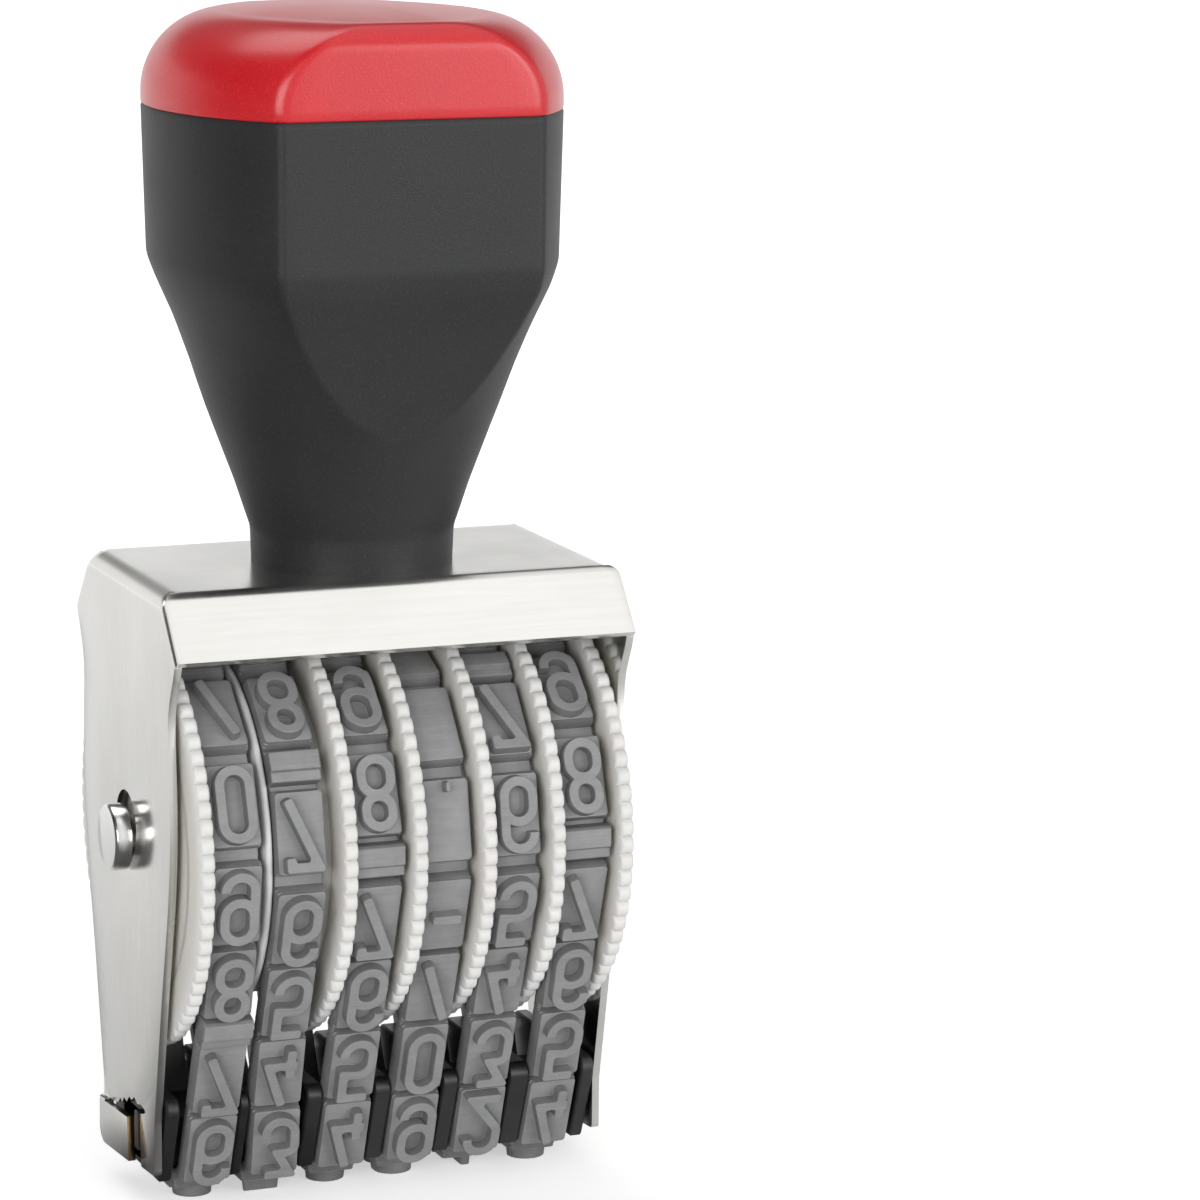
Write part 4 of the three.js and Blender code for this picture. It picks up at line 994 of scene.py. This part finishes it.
def grip_body():
    """Grip from the neck up to the seam, its table read at each height and its top edge eased."""
    height = np.linspace(0, 1, GRIP_RINGS)
    z = PLATE_Z + height * (SEAM_Z - PLATE_Z)
    near_top = np.clip((z - SEAM_Z + SEAM_ROUND) / SEAM_ROUND, 0, 1)
    top_inset = SEAM_INSET * (1 - np.sqrt(np.clip(1 - near_top ** 2, 0, 1)))
    wide = averaged(height, 1, RIM_EASE_SPREAD) * GRIP_WIDTH - top_inset
    deep = averaged(height, 2, RIM_EASE_SPREAD) * GRIP_DEPTH - top_inset
    flat = averaged(height, 3, FLAT_EASE_SPREAD) * GRIP_FLAT
    rings = grip_ring(z, wide, deep, flat, GRIP_EASE)
    grip = skin(rings, [0, 0, z[0]], [0, 0, z[-1]])
    piece("grip_moulding", [grip], GRIP_LOOK, "stamp_body", ["handle_body"], 40)


def grip_cap():
    """Cap: the side arcs draw in along a quarter turn, the planes that cut them turn in along a smaller one
    near the top, and a low dome shuts it. Its foot has a small bevel at the seam."""
    wall = CAP_HEIGHT - CAP_DOME - CAP_FILLET
    centre = (GRIP_WIDTH ** 2 - GRIP_FLAT ** 2 - GRIP_DEPTH ** 2) / (2 * (GRIP_WIDTH - GRIP_FLAT))
    turn = np.linspace(0, np.pi / 2, 44)
    seam_in, seam_up = [.2, .05, 0], [0, .12, .3]
    rise = np.concatenate([seam_up, wall + CAP_FILLET * np.sin(turn)])
    arc = GRIP_WIDTH - centre - np.concatenate([seam_in, CAP_FILLET * (1 - np.cos(turn))])
    brow = np.clip((rise - wall - CAP_FILLET + CAP_BROW) / CAP_BROW, 0, 1)
    plane = GRIP_DEPTH - CAP_BROW * (1 - np.sqrt(1 - brow ** 2)) - np.concatenate([seam_in, 0 * turn])
    deep = np.minimum(plane, np.sqrt(arc ** 2 - centre ** 2) - .004)
    rings = grip_ring(SEAM_Z + rise, centre + arc, deep, centre + np.sqrt(arc ** 2 - deep ** 2), CAP_EASE)
    shrink = np.linspace(1, .04, 16)[1:]
    dome = rings[-1] * np.stack([shrink, shrink, np.ones_like(shrink)], -1)[:, None]
    dome[..., 2] = SEAM_Z + wall + CAP_FILLET + CAP_DOME * (1 - shrink[:, None] ** 2)
    cap = skin(np.concatenate([rings, dome]), [0, 0, SEAM_Z], [0, 0, SEAM_Z + CAP_HEIGHT])
    piece("grip_cap", [cap], CAP_LOOK, "stamp_body", ["handle_cap"], 50)


def fastening():
    """Pan-head screw, plain washer and threaded insert under and in the neck."""
    head_top = PLATE_Z - SHEET - WASHER_THICK
    head_low, tip = head_top - HEAD_HEIGHT, head_top + SHANK_LENGTH
    turn = np.linspace(0, np.pi / 2, 7)
    head = np.stack([HEAD_RADIUS - HEAD_DRAFT + HEAD_DRAFT * np.sin(turn),
                     head_low + HEAD_ROUND * (1 - np.cos(turn))], -1)
    socket = [[POLE, head_low + SOCKET_DEPTH], [SOCKET_RADIUS, head_low + SOCKET_DEPTH],
              [SOCKET_RADIUS + SOCKET_DRAFT, head_low]]
    shank = [[HEAD_RADIUS, head_top], [SHANK_RADIUS, head_top], [SHANK_RADIUS, tip - SHANK_EASE],
             [SHANK_RADIUS - SHANK_EASE, tip], [POLE, tip]]
    outer, ease, thick = WASHER_RADIUS, WASHER_EASE, WASHER_THICK
    washer = np.array([[WASHER_BORE, 0], [outer - ease, 0], [outer, ease], [outer, thick - ease],
                       [outer - ease, thick], [WASHER_BORE, thick]])
    rows, low = np.linspace(0, INSERT_LENGTH, 81), PLATE_Z + INSERT_LOW
    knurl = INSERT_RADIUS + KNURL_DEPTH * np.cos(rows * 2 * np.pi / KNURL_PITCH)
    sleeve = [[WASHER_BORE, low + INSERT_LENGTH], [WASHER_BORE, low]]
    insert = np.vstack([np.stack([knurl, low + rows], -1), sleeve])
    for name, profile, look, slot, solid in (
            ("pan_screw", np.vstack([socket, head, shank]), ZINC_LOOK, "zinc_steel", "handle_screw"),
            ("plain_washer", washer + [0, head_top], ZINC_LOOK, "zinc_steel", "screw_washer"),
            ("neck_insert", insert, BRASS_LOOK, "insert_brass", "handle_insert")):
        piece(name, [turned(profile, 64, upright=True)], look, "stamp_body", [solid])


sheet_frame()
axle_pin()
for wheel in range(WHEELS):
    setting_wheel(wheel)
    number_band(wheel)
separator()
bridge_body()
grip_body()
grip_cap()
fastening()


# Floor, light and camera

FLOOR_HALF = 30.0
DARK_SIDE = (-0.93, -0.37, 0)
# Each lamp's name, place and width in metres, and power
LAMPS = (("key", (-0.9, -1.0, 0.3), 0.8, 9.5), ("right", (0.75, -1.1, 0.3), 0.7, 6.5),
         ("over", (0.3, -0.5, 1.1), 0.8, 0.6), ("top", (-0.2, 0.45, 1.2), 0.8, 3.4))
LAMP_AIM = (0, 0, 0.07)
# The photograph: the camera's yaw, height angle and roll in degrees, its focal length and distance, the
# photograph's width and the column of the stamp's middle in pixels, and the point of the stamp in that column
YAW, DOWN, ROLL = 22.14, 11.05, 0.55
FOCAL_PX, PHOTO_PX, MIDDLE_COLUMN, DISTANCE = 4798.15, 1200, 355, 568.49
SEEN_POINT = (0.4, 0, 70)


def screen(pattern, way):
    """One, falling to a tenth where a dark screen stands on the left of the object, seen from the object."""
    level = pattern.vector("NORMALIZE", "Vector", pattern.vector("MULTIPLY", "Vector", way, (1, 1, 0)))
    return pattern.span(pattern.vector("DOT_PRODUCT", "Value", level, DARK_SIDE), 1, 0.1, 0.4, 0.8)


def floor():
    """Wide pale floor, plain to the camera and shaded where the stamp stands. Shiny surfaces see it glow,
    less so close by, in front and on the side of the dark screen."""
    mesh = bpy.data.meshes.new("floor")
    far = FLOOR_HALF
    mesh.from_pydata([(-far, -far, 0), (far, -far, 0), (far, far, 0), (-far, far, 0)], [], [(0, 1, 2, 3)])
    pale = Finish("pale_floor", (0.86, 0.86, 0.86), 0.7)
    where = pale.place()
    reach = pale.vector("LENGTH", "Value", where)
    seen = pale.times(pale.ray("Camera"), pale.span(reach, 0.52, 0.9, 0.2, 0.9))
    close = pale.plus(pale.span(reach, 0.38, 0.62, 0.04, 0.3), pale.span(reach, 0, 0.3, 0.3, 1.6))
    near = pale.times(close, pale.span(pale.part(where, "Y"), 0.75, 1, -0.1, 0.05))
    shielded = screen(pale, where)
    shine = pale.times(pale.times(pale.ray("Glossy"), near), shielded)
    strength = pale.plus(seen, pale.plus(shine, pale.ray("Transmission")))
    mirrored = pale.mixed(shielded, (0.05, 0.05, 0.05), (0.42, 0.42, 0.42))
    shade = pale.mixed(pale.ray("Glossy"), (0.86, 0.86, 0.86), mirrored)
    pale.surface({"Base Color": shade, "Specular IOR Level": 0.2})
    glow = pale.node("Emission", "Emission", {"Color": (1, 1, 1, 1), "Strength": strength})
    both = pale.node("AddShader", "Shader", {0: pale.shader.outputs["BSDF"], 1: glow})
    pale.feed(pale.tree.nodes["Material Output"], {"Surface": both})
    mesh.materials.append(pale.look)
    thing = bpy.data.objects.new("floor", mesh)
    bpy.context.scene.collection.objects.link(thing)


def softbox(name, at, size, power):
    """Square lamp that faces the stamp."""
    lamp = bpy.data.lights.new(name, "AREA")
    lamp.shape, lamp.size, lamp.size_y, lamp.energy = "RECTANGLE", size, size, power
    thing = bpy.data.objects.new(name, lamp)
    thing.location = at
    thing.rotation_euler = (Vector(LAMP_AIM) - Vector(at)).to_track_quat("-Z", "Y").to_euler()
    bpy.context.scene.collection.objects.link(thing)


def surroundings():
    """Even studio surroundings. The camera sees white. Shiny surfaces see the pale backdrop low down all
    round, a dark gap above it at the back, the bright ceiling, and a dim screen on the left. To all other
    rays the light is even."""
    world = bpy.data.worlds.new("room")
    bpy.context.scene.world = world
    world.use_nodes = True
    room = Pattern(world.node_tree)
    way = room.place("Generated")
    up = room.part(way, "Z")
    gap = room.plus(room.span(up, 1, 0.12, 0.26, 0.34), room.span(up, 0, 0.88, 0.66, 0.82))
    open_front = room.plus(gap, room.span(room.part(way, "Y"), 1, 0, -0.3, 0.15))
    mirrored = room.times(room.ray("Glossy"), room.times(open_front, screen(room, way)))
    seen = room.plus(room.plus(room.ray("Camera"), room.ray("Glossy")), room.ray("Transmission"))
    light = room.times(room.span(seen, 1, 0, 0, 1), 0.34)
    level = room.plus(room.plus(room.ray("Camera"), mirrored), light)
    room.feed(room.tree.nodes["Background"], {"Color": (1, 1, 1, 1), "Strength": level})


def camera():
    """Camera at the photograph's angle, shifted so that the seen point stands in its column."""
    yaw, down, roll = math.radians(YAW), math.radians(DOWN), math.radians(ROLL)
    ahead = Vector((math.sin(yaw) * math.cos(down), math.cos(yaw) * math.cos(down), -math.sin(down)))
    level = Vector((math.cos(yaw), -math.sin(yaw), 0))
    up = level.cross(ahead)
    right = math.cos(roll) * level + math.sin(roll) * up
    top = -math.sin(roll) * level + math.cos(roll) * up
    aside = (MIDDLE_COLUMN - PHOTO_PX / 2) * DISTANCE / FOCAL_PX
    eye = Vector(SEEN_POINT) - DISTANCE * ahead - right * aside
    lens = bpy.data.cameras.new("photo_camera")
    lens.sensor_width, lens.sensor_fit = 36, "HORIZONTAL"
    lens.lens = FOCAL_PX / PHOTO_PX * lens.sensor_width
    lens.clip_start, lens.clip_end = 0.01, 200
    thing = bpy.data.objects.new("photo_camera", lens)
    thing.matrix_world = Matrix.Translation(eye * MM) @ Matrix((right, top, -ahead)).transposed().to_4x4()
    bpy.context.scene.collection.objects.link(thing)
    bpy.context.scene.camera = thing


floor()
surroundings()
for lamp in LAMPS:
    softbox(*lamp)
camera()
bpy.context.scene.view_settings.view_transform = "Standard"
